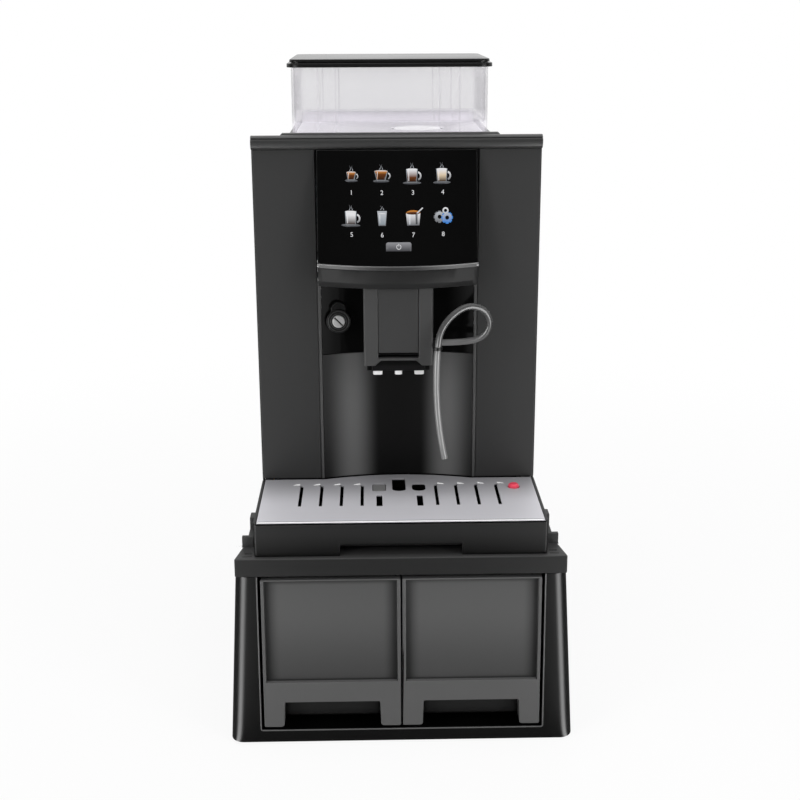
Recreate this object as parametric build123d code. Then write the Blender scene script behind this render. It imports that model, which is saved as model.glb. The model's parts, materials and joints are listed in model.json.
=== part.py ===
from build123d import *
import math
import os

# Commercial bean-to-cup espresso machine on a cabinet base with two drawers.
# Millimetres. +Z is up, the front faces -Y, +X is to the right as seen from the front.
# The origin is on the floor, under the middle of the cabinet.

# Cabinet base
base_flare = 10.0
base_flare_depth = 8.0
base_corner = 14.0
base_height = 189.0
base_wall = 3.0
foot_height = 2.0
foot_radius = 13.0
foot_inset = 26.0
deck_margin = 6.0
deck_rear_margin = 0.5
deck_corner = 12.0
deck_height = 19.5
deck_skin = 5.5
deck_rim = 10.0
front_frame = 40.0
post_width = 22.0
post_depth = 20.0
sill_height = 14.0
guide_wall = 2.5
opening_depth = 12.0
divider_wall = 3.0
chute_offset = 72.0
chute_width = 64.0
chute_length = 76.0
vent_rise = 85.0
vent_width = 4.0
vent_length = 34.0
vent_pitch = 12.0
rail_wall = 5.5
rail_wall_height = 23.0
rail_ledge_width = 6.5
rail_ledge_height = 11.5
rail_lead = 32.0
rail_gap = 2.5
rail_post = 5.5
rail_step = 25.0
rail_length = 42.0
rear_rail = 100.0
corner_slot_width = 9.0
corner_slot_height = 1.8
corner_slot_pitch = 7.2

# Drawers
drawer_gap = 2.0
drawer_side_gap = 4.0
drawer_top_gap = 4.5
drawer_face_depth = 10.0
drawer_frame = 3.3
drawer_top_frame = 1.5
drawer_side_wall = 5.0
drawer_recess = 5.5
drawer_inset = 1.0
drawer_band = 22.6
notch_width = 104.0
notch_height = 30.0
notch_slope = 5.0
finger_depth = 24.0
bin_wall = 2.0
bin_height = 140.0
bin_back_gap = 24.0
runner_width = 9.0
runner_height = 11.0
runner_gap = 0.25

# Machine body
body_width = 302.0
body_depth = 316.0
panel_setback = 135.5
tray_height = 37.5
panel_height = 361.8
cap_height = 14.7
cap_reach = 7.0
cap_groove = 1.0
top_fall = 7.0
cover_wall = 1.8
panel_wall = 3.0
machine_foot_radius = 12.0
machine_foot_height = 5.5
pan_wall = 2.0
frame_wall = 1.5
cover_gap = 0.7
frame_drop = 2.0
frame_window_start = 50.5
frame_window_length = 50.5
frame_window_margin = 40.0
shelf_setback = 40.0
shelf_rear_gap = 10.0
shelf_flange = 14.0
louvre_back = 60.0
louvre_rise = 24.0
louvre_pitch = 7.5
rear_vent_rise = 60.0
rear_vent_half = 30.6
rear_vent_spread = 84.6
cut_depth = 60.0
panel_gap = 0.8

# Head with the screen
head_half = 83.3
head_wall = 3.0
head_top_reach = 3.0
head_reach = 30.0
head_top_bow = 4.0
head_bow = 20.0
head_height = 138.3
trim_height = 4.4
trim_proud = 0.8
trim_depth = 1.6
head_gap = 0.3
brow_height = 20.3
brow_roll = 6.5
brow_tuck = 4.5
glass_wall = 2.2
glass_gap = 0.7
display_width = 152.0
display_height = 82.0
display_depth = 7.0

# Recess behind the spout
recess_half = 85.8
liner_half = 81.7
liner_bow = 13.0
liner_wall = 2.5
seam_drop = 81.0
seam_gap = 0.4
strip_width = 2.4
strip_gap = 0.3
strip_proud = 0.6
lock_x = -63.3
lock_drop = 43.5
lock_radius = 13.0
lock_tab_width = 16.0
lock_tab_height = 21.0
lock_depth = 3.0
lock_disc = 6.8

# Spout carriage
spout_half = 36.5
spout_reach = 39.5
spout_wall = 3.0
spout_hang = 83.5
spout_height = 123.0
spout_lean_depth = 12.0
spout_lean_height = 16.0
spout_cover_half = 20.8
spout_cover_rise = 14.0
spout_cover_depth = 3.0
cover_inset = 0.4
spout_gap = 0.6
nozzle_drop = 10.9
nozzle_spread = 22.0
nozzle_width = 10.0
nozzle_middle = 7.8
nozzle_depth = 10.0
nozzle_stub = 4.4
nozzle_reach = 30.0
guide_rod = 4.0
guide_spread = 20.0
guide_setback = 2.0
running_gap = 0.05
lip_drop = 8.5
cover_slot = 5.5
carriage_height = 12.0
carriage_low = 55.0
carriage_top = 14.0
bracket_height = 8.0
rod_over = 40.0
rod_under = 5.0
spout_rear = 7.0

# Milk hose: outer size and the points of its route, from the panels' plane and the spout's lower edge
hose_diameter = 7.0
holder_wall = 1.6
holder_gap = 0.5
hose_points = [
    (44.0, -24.0, 21.0),
    (65.9, -24.0, 21.0),
    (88.2, -29.0, 25.8),
    (97.7, -34.4, 42.6),
    (90.9, -41.0, 60.4),
    (72.8, -46.8, 66.7),
    (55.7, -50.9, 57.3),
    (43.5, -53.3, 41.5),
    (40.4, -53.9, 22.2),
    (39.3, -54.5, -2.0),
    (39.4, -54.1, -28.0),
    (41.3, -53.9, -55.0),
    (44.6, -54.3, -80.0),
    (48.4, -54.7, -98.5),
]
route_share = 0.45

# Drip tray, plate and float
tray_reach = 130.0
tray_wall = 3.0
tray_clear = 0.3
tray_tail = 34.0
tray_tail_half = 138.0
tray_notch_width = 126.0
tray_notch_height = 9.0
tray_notch_depth = 22.0
plate_width = 295.0
plate_wall = 2.0
plate_gap = 0.3
plate_back_gap = 1.5
rim_lip = 0.4
slot_width = 3.4
slot_start = 20.0
slot_end = 84.0
slot_first = 40.0
slot_pitch = 22.0
slot_hook = 4.0
short_slot_x = 21.6
short_slot_width = 6.3
short_slot_start = 53.0
short_slot_end = 85.5
window_width = 14.7
window_start = 18.0
window_end = 41.0
middle_window_start = 2.0
float_x = 125.3
float_back = 31.7
float_radius = 6.0
float_disc = 12.0
float_proud = 4.0
float_gap = 0.6

# Bean hopper
hopper_x = -6.0
hopper_back = 60.0
hopper_width = 211.0
hopper_depth = 160.0
hopper_wall = 2.5
hopper_rise = 82.7
hopper_corner = 10.0
hopper_floor = 19.0
hopper_seat = 4.0
hopper_rib = 1.6
funnel_drop = 12.0
collar_width = 236.0
collar_lead = 10.0
collar_proud = 4.0
collar_side = 3.0
hopper_ledge = 8.0
lid_side = 4.5
lid_gap = 0.4
lid_skirt = 2.7
lid_groove = 1.2
lid_rise = 1.5
lid_upper = 3.0
lid_upper_inset = 3.0

# Grinder
grinder_x = 26.0
grinder_back = 140.0
shelf_drop = 111.8
shelf_wall = 2.0
motor_radius = 40.0
motor_height = 72.0
fin_pitch = 10.0
fin_wall = 3.0
burr_case_radius = 46.0
burr_case_height = 30.0
burr_radius = 32.0
burr_bore = 18.0
rotor_height = 10.0
rotor_gap = 0.5
shaft_radius = 6.0
dial_radius = 28.5
dial_height = 8.0
dial_stem = 5.0
dial_rise = 8.0
dial_grip = 4.0
dial_grip_half = 20.0
powder_duct_width = 30.0
powder_duct_depth = 24.0

# Brew group
brew_back = 78.0
brew_radius = 22.0
brew_wall = 6.0
brew_cylinder_height = 55.0
brew_drop = 96.0
brew_flange = 34.0
brew_flange_height = 4.0
brew_frame_width = 72.0
brew_plate = 8.0
piston_height = 20.0
piston_stem = 11.0
piston_stem_height = 38.0
spindle_radius = 6.0
motor_block_height = 46.0
motor_block_width = 52.0

chute_wall = 1.6
chute_bend = 110.0
chute_lip = 26.0

# Water parts
tank_back = 236.0
tank_depth = 70.0
tank_width = 262.0
tank_wall = 2.5
tank_shelf_height = 70.0
tank_height = 262.0
tank_gap = 1.2
tank_shelf_lip = 6.0
tank_fence = 8.0
tank_valve = 12.0
tank_valve_x = 78.6
tank_valve_drop = 12.0
tank_lid_wall = 3.0
boiler_x = -92.0
boiler_back = 186.0
boiler_radius = 36.0
boiler_height = 120.0
pump_x = -127.0
pump_back = 80.0
pump_radius = 18.0
pump_length = 80.0
pipe_radius = 3.0

# Electrical parts
board_back = 110.0
board_length = 130.0
board_height = 110.0
board_wall = 1.6
board_standoff = 4.4
board_bottom = 90.0
chip_places = [(20.0, 70.0, 26.0, 26.0, 4.0), (70.0, 80.0, 40.0, 16.0, 10.0), (30.0, 20.0, 30.0, 20.0, 14.0),
               (90.0, 24.0, 22.0, 34.0, 8.0)]
standoff_radius = 3.0
standoff_inset = 8.0
supply_x = 92.0
supply_back = 196.0
supply_width = 72.0
supply_depth = 96.0
supply_height = 54.0
fan_x = -60.0
fan_size = 60.0
fan_wall = 18.0
fan_height = 38.0
fan_bore = 27.5
fan_tip_gap = 1.5
guard_width = 2.0
fan_hub = 10.0
fan_pin = 2.0
fan_blades = 7
inlet_x = 104.0
switch_x = 82.0
socket_height = 26.0
socket_depth = 16.0
socket_wall = 1.6
socket_flange = 3.0
socket_width = 24.0
socket_cutout_height = 23.4
switch_width = 11.0
rocker_pin = 1.0
rocker_setback = 4.0

# Fasteners
screw_head = 3.4
screw_head_height = 1.6
screw_slot_width = 1.0
screw_slot_depth = 0.8
screw_inset = 9.0
screw_rise = 16.0
screw_middle = 150.0
side_screw_rise = 10.0
side_screw_front = 94.8
side_screw_spread = 158.0

# Sizes, heights and planes worked out from the sizes above
deck_width = body_width + 2 * (rail_gap + rail_wall + rail_ledge_width + deck_margin)
deck_depth = panel_setback + body_depth + deck_rear_margin
base_width = deck_width + 2 * base_flare
base_depth = deck_depth + 2 * base_flare_depth
head_bottom = panel_height - head_height
spout_bottom = head_bottom - spout_hang
liner_seam = head_bottom - seam_drop
lock_height = head_bottom - lock_drop
shelf_height = panel_height - shelf_drop
brew_cylinder_base = shelf_height - brew_drop
deck_top = base_height + deck_height
base_front = -base_depth / 2
deck_front = -deck_depth / 2
front = deck_front + panel_setback
back = front + body_depth
body_half = body_width / 2
tray_top = deck_top + tray_height
panel_bottom = tray_top + panel_gap
panel_top = tray_top + panel_height
cap_top = panel_top + cap_height
pan_bottom = deck_top + machine_foot_height
pan_top = pan_bottom + pan_wall
inner_half = body_half - cover_wall - cover_gap
slope = math.tan(math.radians(top_fall))
hose_route = [(x, front + y, tray_top + spout_bottom + z) for x, y, z in hose_points]


def block(x0, x1, y0, y1, z0, z1):
    """A rectangular solid between opposite corners."""
    return Pos((x0 + x1) / 2, (y0 + y1) / 2, (z0 + z1) / 2) * Box(x1 - x0, y1 - y0, z1 - z0)


def upright(radius, x, y, z0, z1):
    """A cylinder that stands along Z."""
    return Pos(x, y, (z0 + z1) / 2) * Cylinder(radius, z1 - z0)


def along_x(radius, y, z, x0, x1):
    """A cylinder that lies along X."""
    return Pos((x0 + x1) / 2, y, z) * Rot(0, 90, 0) * Cylinder(radius, x1 - x0)


def along_y(radius, x, z, y0, y1):
    """A cylinder that lies along Y."""
    return Pos(x, (y0 + y1) / 2, z) * Rot(90, 0, 0) * Cylinder(radius, y1 - y0)


def raised(sketch, height):
    """A flat outline, extruded upwards."""
    return extrude(sketch, amount=height, dir=(0, 0, 1))


def prism_x(points, x0, x1):
    """A polygon of (y, z) points, extruded along X."""
    plane = Plane(origin=(x0, 0, 0), x_dir=(0, 1, 0), z_dir=(1, 0, 0))
    return extrude(plane * Polygon(*points, align=None), amount=x1 - x0, dir=(1, 0, 0))


def prism_y(points, y0, y1):
    """A polygon of (x, z) points, extruded along Y."""
    plane = Plane(origin=(0, y1, 0), x_dir=(1, 0, 0), z_dir=(0, -1, 0))
    return extrude(plane * Polygon(*points, align=None), amount=y1 - y0, dir=(0, -1, 0))


def prism_z(points, z0, z1):
    """A polygon of (x, y) points, extruded along Z."""
    return raised(Pos(0, 0, z0) * Polygon(*points, align=None), z1 - z0)


def rounded_slab(width, depth, corner, x, y, z0, z1):
    """An upright slab with rounded vertical edges."""
    sketch = Pos(x, y, z0) * RectangleRounded(width, depth, corner)
    return raised(sketch, z1 - z0)


def mirrored(solid):
    """The solid and its image across the middle plane, as a list."""
    return [solid, mirror(solid, about=Plane.YZ)]


def group(solids):
    """Several separate solids under one name."""
    return Compound(children=[item for solid in solids for item in solid.solids()])


def bowed_sketch(half, y_ends, bow, y_rear, z):
    """A plan outline with a bowed front edge and a straight rear edge."""
    curve = ThreePointArc((-half, y_ends), (0, y_ends - bow), (half, y_ends))
    sides = Polyline((half, y_ends), (half, y_rear), (-half, y_rear), (-half, y_ends))
    return Pos(0, 0, z) * make_face(curve + sides)


def bowed_loft(low, high):
    """A ruled solid between two plan outlines."""
    return Solid.make_loft([low.wire(), high.wire()], ruled=True)


def tapered_shell(inset, z_low, z_high, narrow=0.0, y_rear=None):
    """The cabinet's tapered outline, brought in by an inset, between two heights."""
    def outline(z):
        share = (z - foot_height) / (base_height - foot_height)
        width = base_width + (deck_width - base_width) * share - 2 * (inset + narrow)
        half_depth = (base_depth + (deck_depth - base_depth) * share) / 2 - inset
        rear = half_depth if y_rear is None else y_rear - inset
        middle = (rear - half_depth) / 2
        return Pos(0, middle, z) * RectangleRounded(width, rear + half_depth, max(base_corner - inset, 1.0))
    return bowed_loft(outline(z_low), outline(z_high))


def cabinet_solid(inset, z_low, z_high):
    """The wide frame round the drawers and the narrower case behind it."""
    frame = tapered_shell(inset, z_low, z_high, 0.0, deck_front + front_frame)
    case = tapered_shell(inset, z_low, z_high, deck_width / 2 - case_half)
    return frame + (case & block(-base_width, base_width, deck_front + post_depth, base_depth, z_low, z_high))


def top_z(y):
    """Height of the machine's sloping top at a depth."""
    return cap_top - slope * (y - front + cap_reach / 2)


# Cabinet
sill_top = foot_height + sill_height
floor_top = foot_height + base_wall
opening_half = deck_width / 2 - post_width
case_half = body_half + rail_gap + rail_wall
chute_x = -chute_offset
chute_y = front + brew_back
bin_half_gap = divider_wall / 2 + drawer_gap
bin_outer = opening_half - drawer_side_gap
face_bottom = sill_top + drawer_gap / 2
face_top = base_height - drawer_top_gap
runner_top = floor_top + runner_height
bin_front = deck_front + drawer_face_depth + finger_depth
bin_rear = deck_depth / 2 - bin_back_gap


def make_base_shell():
    outer = cabinet_solid(0, foot_height, base_height)
    shell = outer - cabinet_solid(base_wall, floor_top, base_height)
    core = cabinet_solid(base_wall / 2, foot_height, base_height)
    front_cut = block(-opening_half, opening_half, base_front - 1, deck_front + opening_depth,
                      sill_top, base_height + 1)
    for side in (-1, 1):
        edge = side * opening_half
        far = side * base_width
        post = outer & block(min(edge, far), max(edge, far), base_front, deck_front + post_depth,
                             foot_height, base_height)
        wall = core & block(min(edge, edge + side * guide_wall), max(edge, edge + side * guide_wall),
                            deck_front, base_depth / 2, foot_height + base_wall / 2, base_height)
        shell = shell + post + wall
    divider = core & block(-divider_wall / 2, divider_wall / 2, bin_front - finger_depth / 2,
                           base_depth / 2, foot_height + base_wall / 2, base_height)
    shell = shell + divider - front_cut
    for x0 in (bin_half_gap, bin_outer - runner_width):
        runner = block(x0, x0 + runner_width, bin_front, bin_rear, floor_top, runner_top)
        for piece in mirrored(chamfer(runner.edges().filter_by(Axis.Y).group_by(Axis.Z)[-1], 1.0)):
            shell += piece
    vents = []
    for side in (-1, 1):
        for row in range(5):
            z = foot_height + vent_rise + row * vent_pitch
            vents.append(block(side * base_width / 4 - vent_length, side * base_width / 4 + vent_length,
                               deck_depth / 2 - base_wall * 2, base_depth / 2 + 1, z, z + vent_width))
    return shell - vents


def make_base_feet():
    feet = []
    for x in (-1, 1):
        for y in (-1, 1):
            foot_x = x * (base_width / 2 - foot_inset)
            foot_y = y * (base_depth / 2 - foot_inset)
            pad = upright(foot_radius, foot_x, foot_y, 0, foot_height)
            feet.append(chamfer(pad.edges().group_by(Axis.Z)[0], foot_height / 4))
    return group(feet)


def make_base_deck():
    deck = rounded_slab(deck_width, front_frame, deck_corner, 0, deck_front + front_frame / 2,
                        base_height, deck_top)
    deck = fillet(deck.edges().group_by(Axis.Z)[-1], 1.5)
    rear_part = rounded_slab(2 * case_half, deck_depth - post_depth, deck_corner, 0, post_depth / 2,
                             base_height, deck_top)
    deck += fillet(rear_part.edges().group_by(Axis.Z)[-1], 1.5)
    deck -= rounded_slab(deck_width - 2 * deck_rim, front_frame - 2 * deck_rim, deck_corner / 2,
                         0, deck_front + front_frame / 2, base_height, deck_top - deck_skin)
    deck -= block(-case_half + deck_rim, case_half - deck_rim, deck_front + deck_rim + 2,
                  deck_depth / 2 - deck_rim, base_height, deck_top - deck_skin)
    wall_inner = body_half + rail_gap
    ledge_inner = wall_inner + rail_wall
    start = deck_front + rail_lead
    rear = deck_depth / 2 - deck_corner
    wall_top = deck_top + rail_wall_height
    ledge_top = deck_top + rail_ledge_height
    ledge = block(wall_inner, ledge_inner, start, start + rail_length, deck_top - 2, ledge_top)
    ledge += block(wall_inner, ledge_inner + rail_ledge_width, start, start + rail_post,
                   deck_top - 2, ledge_top)
    for y0, y1 in ((start + rail_step, start + rail_length), (rear - rear_rail, rear)):
        rail = block(wall_inner, ledge_inner, y0, y1, deck_top - 2, wall_top)
        rail = fillet(rail.edges().filter_by(Axis.X).group_by(Axis.Z)[-1], rail_wall / 3)
        for piece in mirrored(rail):
            deck += piece
    for piece in mirrored(ledge):
        deck += piece
    deck -= block(chute_x - chute_width / 2, chute_x + chute_width / 2, chute_y - chute_length / 2,
                  chute_y + chute_length / 2, base_height, deck_top + 1)
    for row in (1, 2):
        slot_y = deck_front + row * corner_slot_pitch
        slot = block(wall_inner, wall_inner + corner_slot_width, slot_y, slot_y + corner_slot_height,
                     deck_top - corner_slot_height, deck_top + 1)
        for piece in mirrored(slot):
            deck -= piece
    return deck


def make_drawer_face(side):
    """The drawer's face, with its recessed panel, the finger notch and the sides that carry it."""
    inner = drawer_gap / 2
    middle = (inner + bin_outer) / 2
    rear = deck_front + drawer_face_depth
    face = tapered_shell(drawer_inset, foot_height, base_height) & block(inner, bin_outer, base_front, rear,
                                                                         face_bottom, face_top)
    recess = block(inner + drawer_frame, bin_outer - drawer_frame, base_front, rear,
                   face_bottom + notch_height + drawer_band, face_top - drawer_top_frame)
    face -= recess - tapered_shell(drawer_inset + drawer_recess, foot_height, base_height)
    top = notch_width / 2 - notch_slope
    foot = notch_width / 2
    notch = prism_y([(middle - foot, face_bottom - 1), (middle - top, face_bottom + notch_height),
                     (middle + top, face_bottom + notch_height), (middle + foot, face_bottom - 1)],
                    base_front - 1, rear + 1)
    face -= notch
    bin_top = runner_top + runner_gap + bin_height
    for x0 in (bin_half_gap, bin_outer - drawer_side_wall):
        face += block(x0, x0 + drawer_side_wall, rear, bin_front, runner_top + runner_gap, bin_top)
    face += block(bin_half_gap, bin_outer, rear, bin_front, bin_top - drawer_side_wall, bin_top)
    return face if side > 0 else mirror(face, about=Plane.YZ)


def make_drawer_bin(side):
    bottom = runner_top + runner_gap
    top = bottom + bin_height
    box = block(bin_half_gap, bin_outer, bin_front, bin_rear, bottom, top)
    box = fillet(box.edges().filter_by(Axis.Z).group_by(Axis.Y)[-1], 6.0)
    box -= block(bin_half_gap + bin_wall, bin_outer - bin_wall, bin_front + bin_wall, bin_rear - bin_wall,
                 bottom + bin_wall, top + 1)
    return box if side > 0 else mirror(box, about=Plane.YZ)


# Body
tray_front = front - tray_reach
tail_rear = front + tray_tail
side_front = front + panel_wall + cover_gap / 2
rear_inner = back - cover_wall
pan_front = tail_rear + 6.0
shelf_z = tray_top + shelf_height
tank_front = front + tank_back
tank_y = tank_front + tank_depth / 2
tank_shelf_z = pan_top + tank_shelf_height
tank_low = tank_shelf_z + pan_wall


def side_outline(drop, rise):
    """The (y, z) outline of a side sheet, kept a drop below the top cover."""
    step = front + 3 * cap_reach + panel_gap
    return [(side_front, pan_bottom + rise), (side_front, panel_top - panel_gap - drop),
            (step, panel_top - panel_gap - drop), (step, top_z(step) - panel_wall - drop),
            (rear_inner, top_z(rear_inner) - panel_wall - drop), (rear_inner, pan_bottom + rise)]


def make_machine_feet():
    feet = []
    for x in (-1, 1):
        for y in (pan_front + 2 * machine_foot_radius, back - 2 * machine_foot_radius):
            foot_x = x * (inner_half - 2 * machine_foot_radius)
            feet.append(upright(machine_foot_radius, foot_x, y, deck_top, pan_bottom))
    return group(feet)


def make_chassis():
    """Floor pan with two upright side plates and the tank's shelf, in welded sheet."""
    pan = block(-inner_half, inner_half, pan_front, rear_inner, pan_bottom, pan_top)
    side = prism_x(side_outline(frame_drop, 0.0), inner_half - frame_wall, inner_half)
    window = block(inner_half - 2 * frame_wall, inner_half + 1, front + frame_window_start,
                   front + frame_window_start + frame_window_length, pan_top + frame_window_margin,
                   shelf_z - frame_window_margin)
    for piece in mirrored(side - window):
        pan += piece
    half = inner_half - frame_wall
    shelf_front = tank_front - tank_shelf_lip
    pan += block(-half, half, shelf_front, rear_inner, tank_shelf_z, tank_low)
    pan += block(-half, half, shelf_front - pan_wall, shelf_front, pan_top, tank_low + tank_fence)
    pan += upright(tank_valve, tank_valve_x, tank_y, tank_low - tank_valve_drop, tank_low)
    pan -= upright(tank_valve / 2, tank_valve_x, tank_y, tank_low - tank_valve_drop + base_wall, tank_low + 1)
    return pan - block(chute_x - chute_width / 2, chute_x + chute_width / 2, chute_y - chute_length / 2,
                       chute_y + chute_length / 2, pan_bottom - 1, pan_top + 1)


def make_shelf():
    """Equipment shelf that carries the grinder between the side plates."""
    half = inner_half - frame_wall
    y0 = front + shelf_setback
    y1 = tank_front - shelf_rear_gap
    shelf = block(-half, half, y0, y1, shelf_z - shelf_wall, shelf_z)
    flange = block(half - shelf_wall, half, y0, y1, shelf_z - shelf_flange, shelf_z)
    for piece in mirrored(flange):
        shelf += piece
    duct_y = grinder_y - burr_case_radius - powder_duct_depth / 2
    return shelf - block(grinder_x - powder_duct_width / 2 - 1, grinder_x + powder_duct_width / 2 + 1,
                         duct_y - powder_duct_depth / 2 - 1, duct_y + powder_duct_depth / 2 + 1,
                         shelf_z - shelf_flange, shelf_z + 1)


def make_side_cover(side):
    x0 = body_half - cover_wall
    cover = prism_x(side_outline(0.0, 0.0), x0, body_half)
    for row in range(7):
        y = rear_inner - louvre_back + row * louvre_pitch
        cover -= block(x0 - 1, body_half + 1, y, y + vent_width, pan_top + louvre_rise,
                       pan_top + louvre_rise + vent_length)
    return cover if side > 0 else mirror(cover, about=Plane.YZ)


def make_rear_cover():
    top = top_z(back) - panel_wall
    cover = block(-body_half, body_half, rear_inner, back, pan_bottom, top)
    cover = fillet(cover.edges().filter_by(Axis.Z).group_by(Axis.Y)[-1], cover_wall * 0.8)
    for column in (-1, 0, 1):
        for row in range(8):
            z = tank_shelf_z + rear_vent_rise + row * vent_pitch
            x = column * rear_vent_spread
            cover -= block(x - rear_vent_half, x + rear_vent_half, rear_inner - 1, back + 1,
                           z, z + vent_width)
    cover -= along_y(fan_bore, fan_x, pan_top + fan_height, rear_inner - 1, back + 1)
    for ring in (fan_bore / 3, fan_bore * 2 / 3):
        guard = along_y(ring + guard_width / 2, fan_x, pan_top + fan_height, rear_inner, back)
        cover += guard - along_y(ring - guard_width / 2, fan_x, pan_top + fan_height, rear_inner, back)
    for angle in (0, 90):
        spoke = Pos(fan_x, (rear_inner + back) / 2, pan_top + fan_height) * Rot(0, angle, 0)
        cover += spoke * Box(2 * fan_bore + 1, cover_wall, guard_width)
    return cover - block(switch_x - switch_width / 2 - socket_wall - cover_gap,
                         inlet_x + socket_width / 2 + socket_wall + cover_gap, rear_inner - 1, back + 1,
                         pan_top + socket_height - socket_cutout_height / 2,
                         pan_top + socket_height + socket_cutout_height / 2)


def make_front_panel(side):
    face = block(recess_half, body_half, front, front + panel_wall, panel_bottom, panel_top)
    face = fillet(face.edges().filter_by(Axis.Z).group_by(Axis.Y)[0].sort_by(Axis.X)[-1], 2.2)
    face += block(recess_half, recess_half + panel_wall, front, front + tray_tail / 2 + 3.0,
                  panel_bottom, panel_top)
    return face if side > 0 else mirror(face, about=Plane.YZ)


collar_front = front + hopper_back - collar_lead
collar_rear = front + hopper_back + hopper_depth + collar_lead
collar_top = top_z(collar_front) + collar_proud
hopper_bottom = collar_top - hopper_seat
hopper_front = front + hopper_back
hopper_y = hopper_front + hopper_depth / 2


def make_top_cover():
    """Sloping top with the rounded front cap, the hopper's collar and the tank's opening."""
    nose = cap_height / 2
    body = prism_x([(front - cap_reach + nose, panel_top), (front + 3 * cap_reach, panel_top),
                    (front + 3 * cap_reach, top_z(front + 3 * cap_reach) - panel_wall),
                    (back, top_z(back) - panel_wall), (back, top_z(back)),
                    (front - cap_reach + nose, cap_top)], -body_half, body_half)
    body += along_x(nose, front - cap_reach + nose, panel_top + nose, -body_half, body_half)
    groove = along_x(nose + 1, front - cap_reach + nose, panel_top + nose, -body_half, body_half)
    groove -= along_x(nose - cap_groove, front - cap_reach + nose, panel_top + nose, -body_half, body_half)
    groove_z = cap_top - cap_height * 0.22
    body -= groove & block(-body_half, body_half, front - 2 * cap_reach, front - cap_reach + nose,
                           groove_z - 0.6, groove_z + 0.6)
    half_collar = hopper_width / 2 + collar_side
    collar = block(hopper_x - half_collar, hopper_x + half_collar, collar_front + 1, collar_rear,
                   top_z(collar_rear) - panel_wall, collar_top)
    collar = chamfer(collar.edges().group_by(Axis.Z)[-1], 1.0)
    front_bar = block(hopper_x - collar_width / 2, hopper_x + collar_width / 2, collar_front,
                      hopper_front + 1, top_z(collar_rear) - panel_wall, collar_top)
    collar += chamfer(front_bar.edges().group_by(Axis.Z)[-1], 2.0)
    deep = top_z(collar_rear) - cut_depth
    low = prism_x([(collar_front - 5, top_z(collar_front - 5) - panel_wall),
                   (collar_rear + 5, top_z(collar_rear + 5) - panel_wall),
                   (collar_rear + 5, deep), (collar_front - 5, deep)], -body_half, body_half)
    body += collar - low
    seat = rounded_slab(hopper_width + 2 * plate_gap, hopper_depth + 2 * plate_gap, hopper_corner,
                        hopper_x, hopper_y, hopper_bottom, collar_top + 1)
    inside = block(hopper_x - hopper_width / 2 + hopper_ledge, hopper_x + hopper_width / 2 - hopper_ledge,
                   hopper_front + hopper_ledge, hopper_front + hopper_depth - hopper_ledge,
                   top_z(back) - cut_depth, collar_top)
    body -= seat
    body -= inside
    return body - block(-tank_width / 2 - tank_gap, tank_width / 2 + tank_gap, tank_front - tank_gap,
                        tank_front + tank_depth + tank_gap, top_z(back) - cut_depth, cap_top)


def make_case_screws():
    """Cap screws that hold the rear cover and the side covers."""
    screws = []
    half_slot = screw_slot_width / 2
    sunk = screw_head_height - screw_slot_depth
    side_z = pan_top + side_screw_rise
    for side in (-1, 1):
        x = side * (body_half - screw_inset)
        for z in (pan_top + screw_rise, pan_top + screw_middle, top_z(back) - screw_rise):
            head = along_y(screw_head, x, z, back, back + screw_head_height)
            head -= block(x - half_slot, x + half_slot, back + sunk, back + 2 * screw_head_height,
                          z - screw_head, z + screw_head)
            screws.append(head)
        for y in (front + side_screw_front, front + side_screw_front + side_screw_spread):
            head = along_x(screw_head, y, side_z, body_half, body_half + screw_head_height)
            head -= block(body_half + sunk, body_half + 2 * screw_head_height, y - half_slot, y + half_slot,
                          side_z - screw_head, side_z + screw_head)
            screws.append(head if side > 0 else mirror(head, about=Plane.YZ))
    return group(screws)


# Head
head_base = tray_top + head_bottom
trim_low = head_base + brow_height
trim_high = trim_low + trim_height
head_rear = front + panel_wall * 4
glass_top = panel_top - glass_gap


def head_section(inset, y_extra, z):
    """Plan outline of the head at a height: the screen leans, the brow stands upright."""
    if z > trim_high:
        share = (z - trim_high) / (panel_top - trim_high)
    else:
        share = 0.0
    reach = head_reach + (head_top_reach - head_reach) * share
    bow = head_bow + (head_top_bow - head_bow) * share
    return bowed_sketch(head_half - inset, front - reach + inset + y_extra, bow, head_rear, z)


def head_solid(inset, z_low, z_high):
    """The head's form, brought in by an inset, from below the brow to under the cap."""
    pieces = []
    stops = [z_low, head_base + brow_roll, trim_high, z_high]
    tuck = brow_tuck if z_low <= head_base + brow_roll / 2 else 0.0
    pieces.append(bowed_loft(head_section(inset, tuck, z_low), head_section(inset, 0, stops[1])))
    pieces.append(bowed_loft(head_section(inset, 0, stops[1]), head_section(inset, 0, stops[2])))
    pieces.append(bowed_loft(head_section(inset, 0, stops[2]), head_section(inset, 0, z_high)))
    return pieces[0] + pieces[1] + pieces[2]


def screen_slab(outer_inset, inner_inset, side_inset, z_low, z_high):
    """A layer of the leaning screen face between two insets from the head's surface."""
    def face(inset, z):
        share = (z - trim_high) / (panel_top - trim_high)
        reach = head_reach + (head_top_reach - head_reach) * share
        bow = head_bow + (head_top_bow - head_bow) * share
        return bowed_sketch(head_half - side_inset, front - reach + inset, bow, head_rear, z)
    outer = bowed_loft(face(outer_inset, z_low), face(outer_inset, z_high))
    return outer - bowed_loft(face(inner_inset, z_low - 0.01), face(inner_inset, z_high + 0.01))


def make_screen_glass():
    return screen_slab(0, glass_wall, glass_gap, trim_high, glass_top)


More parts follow.
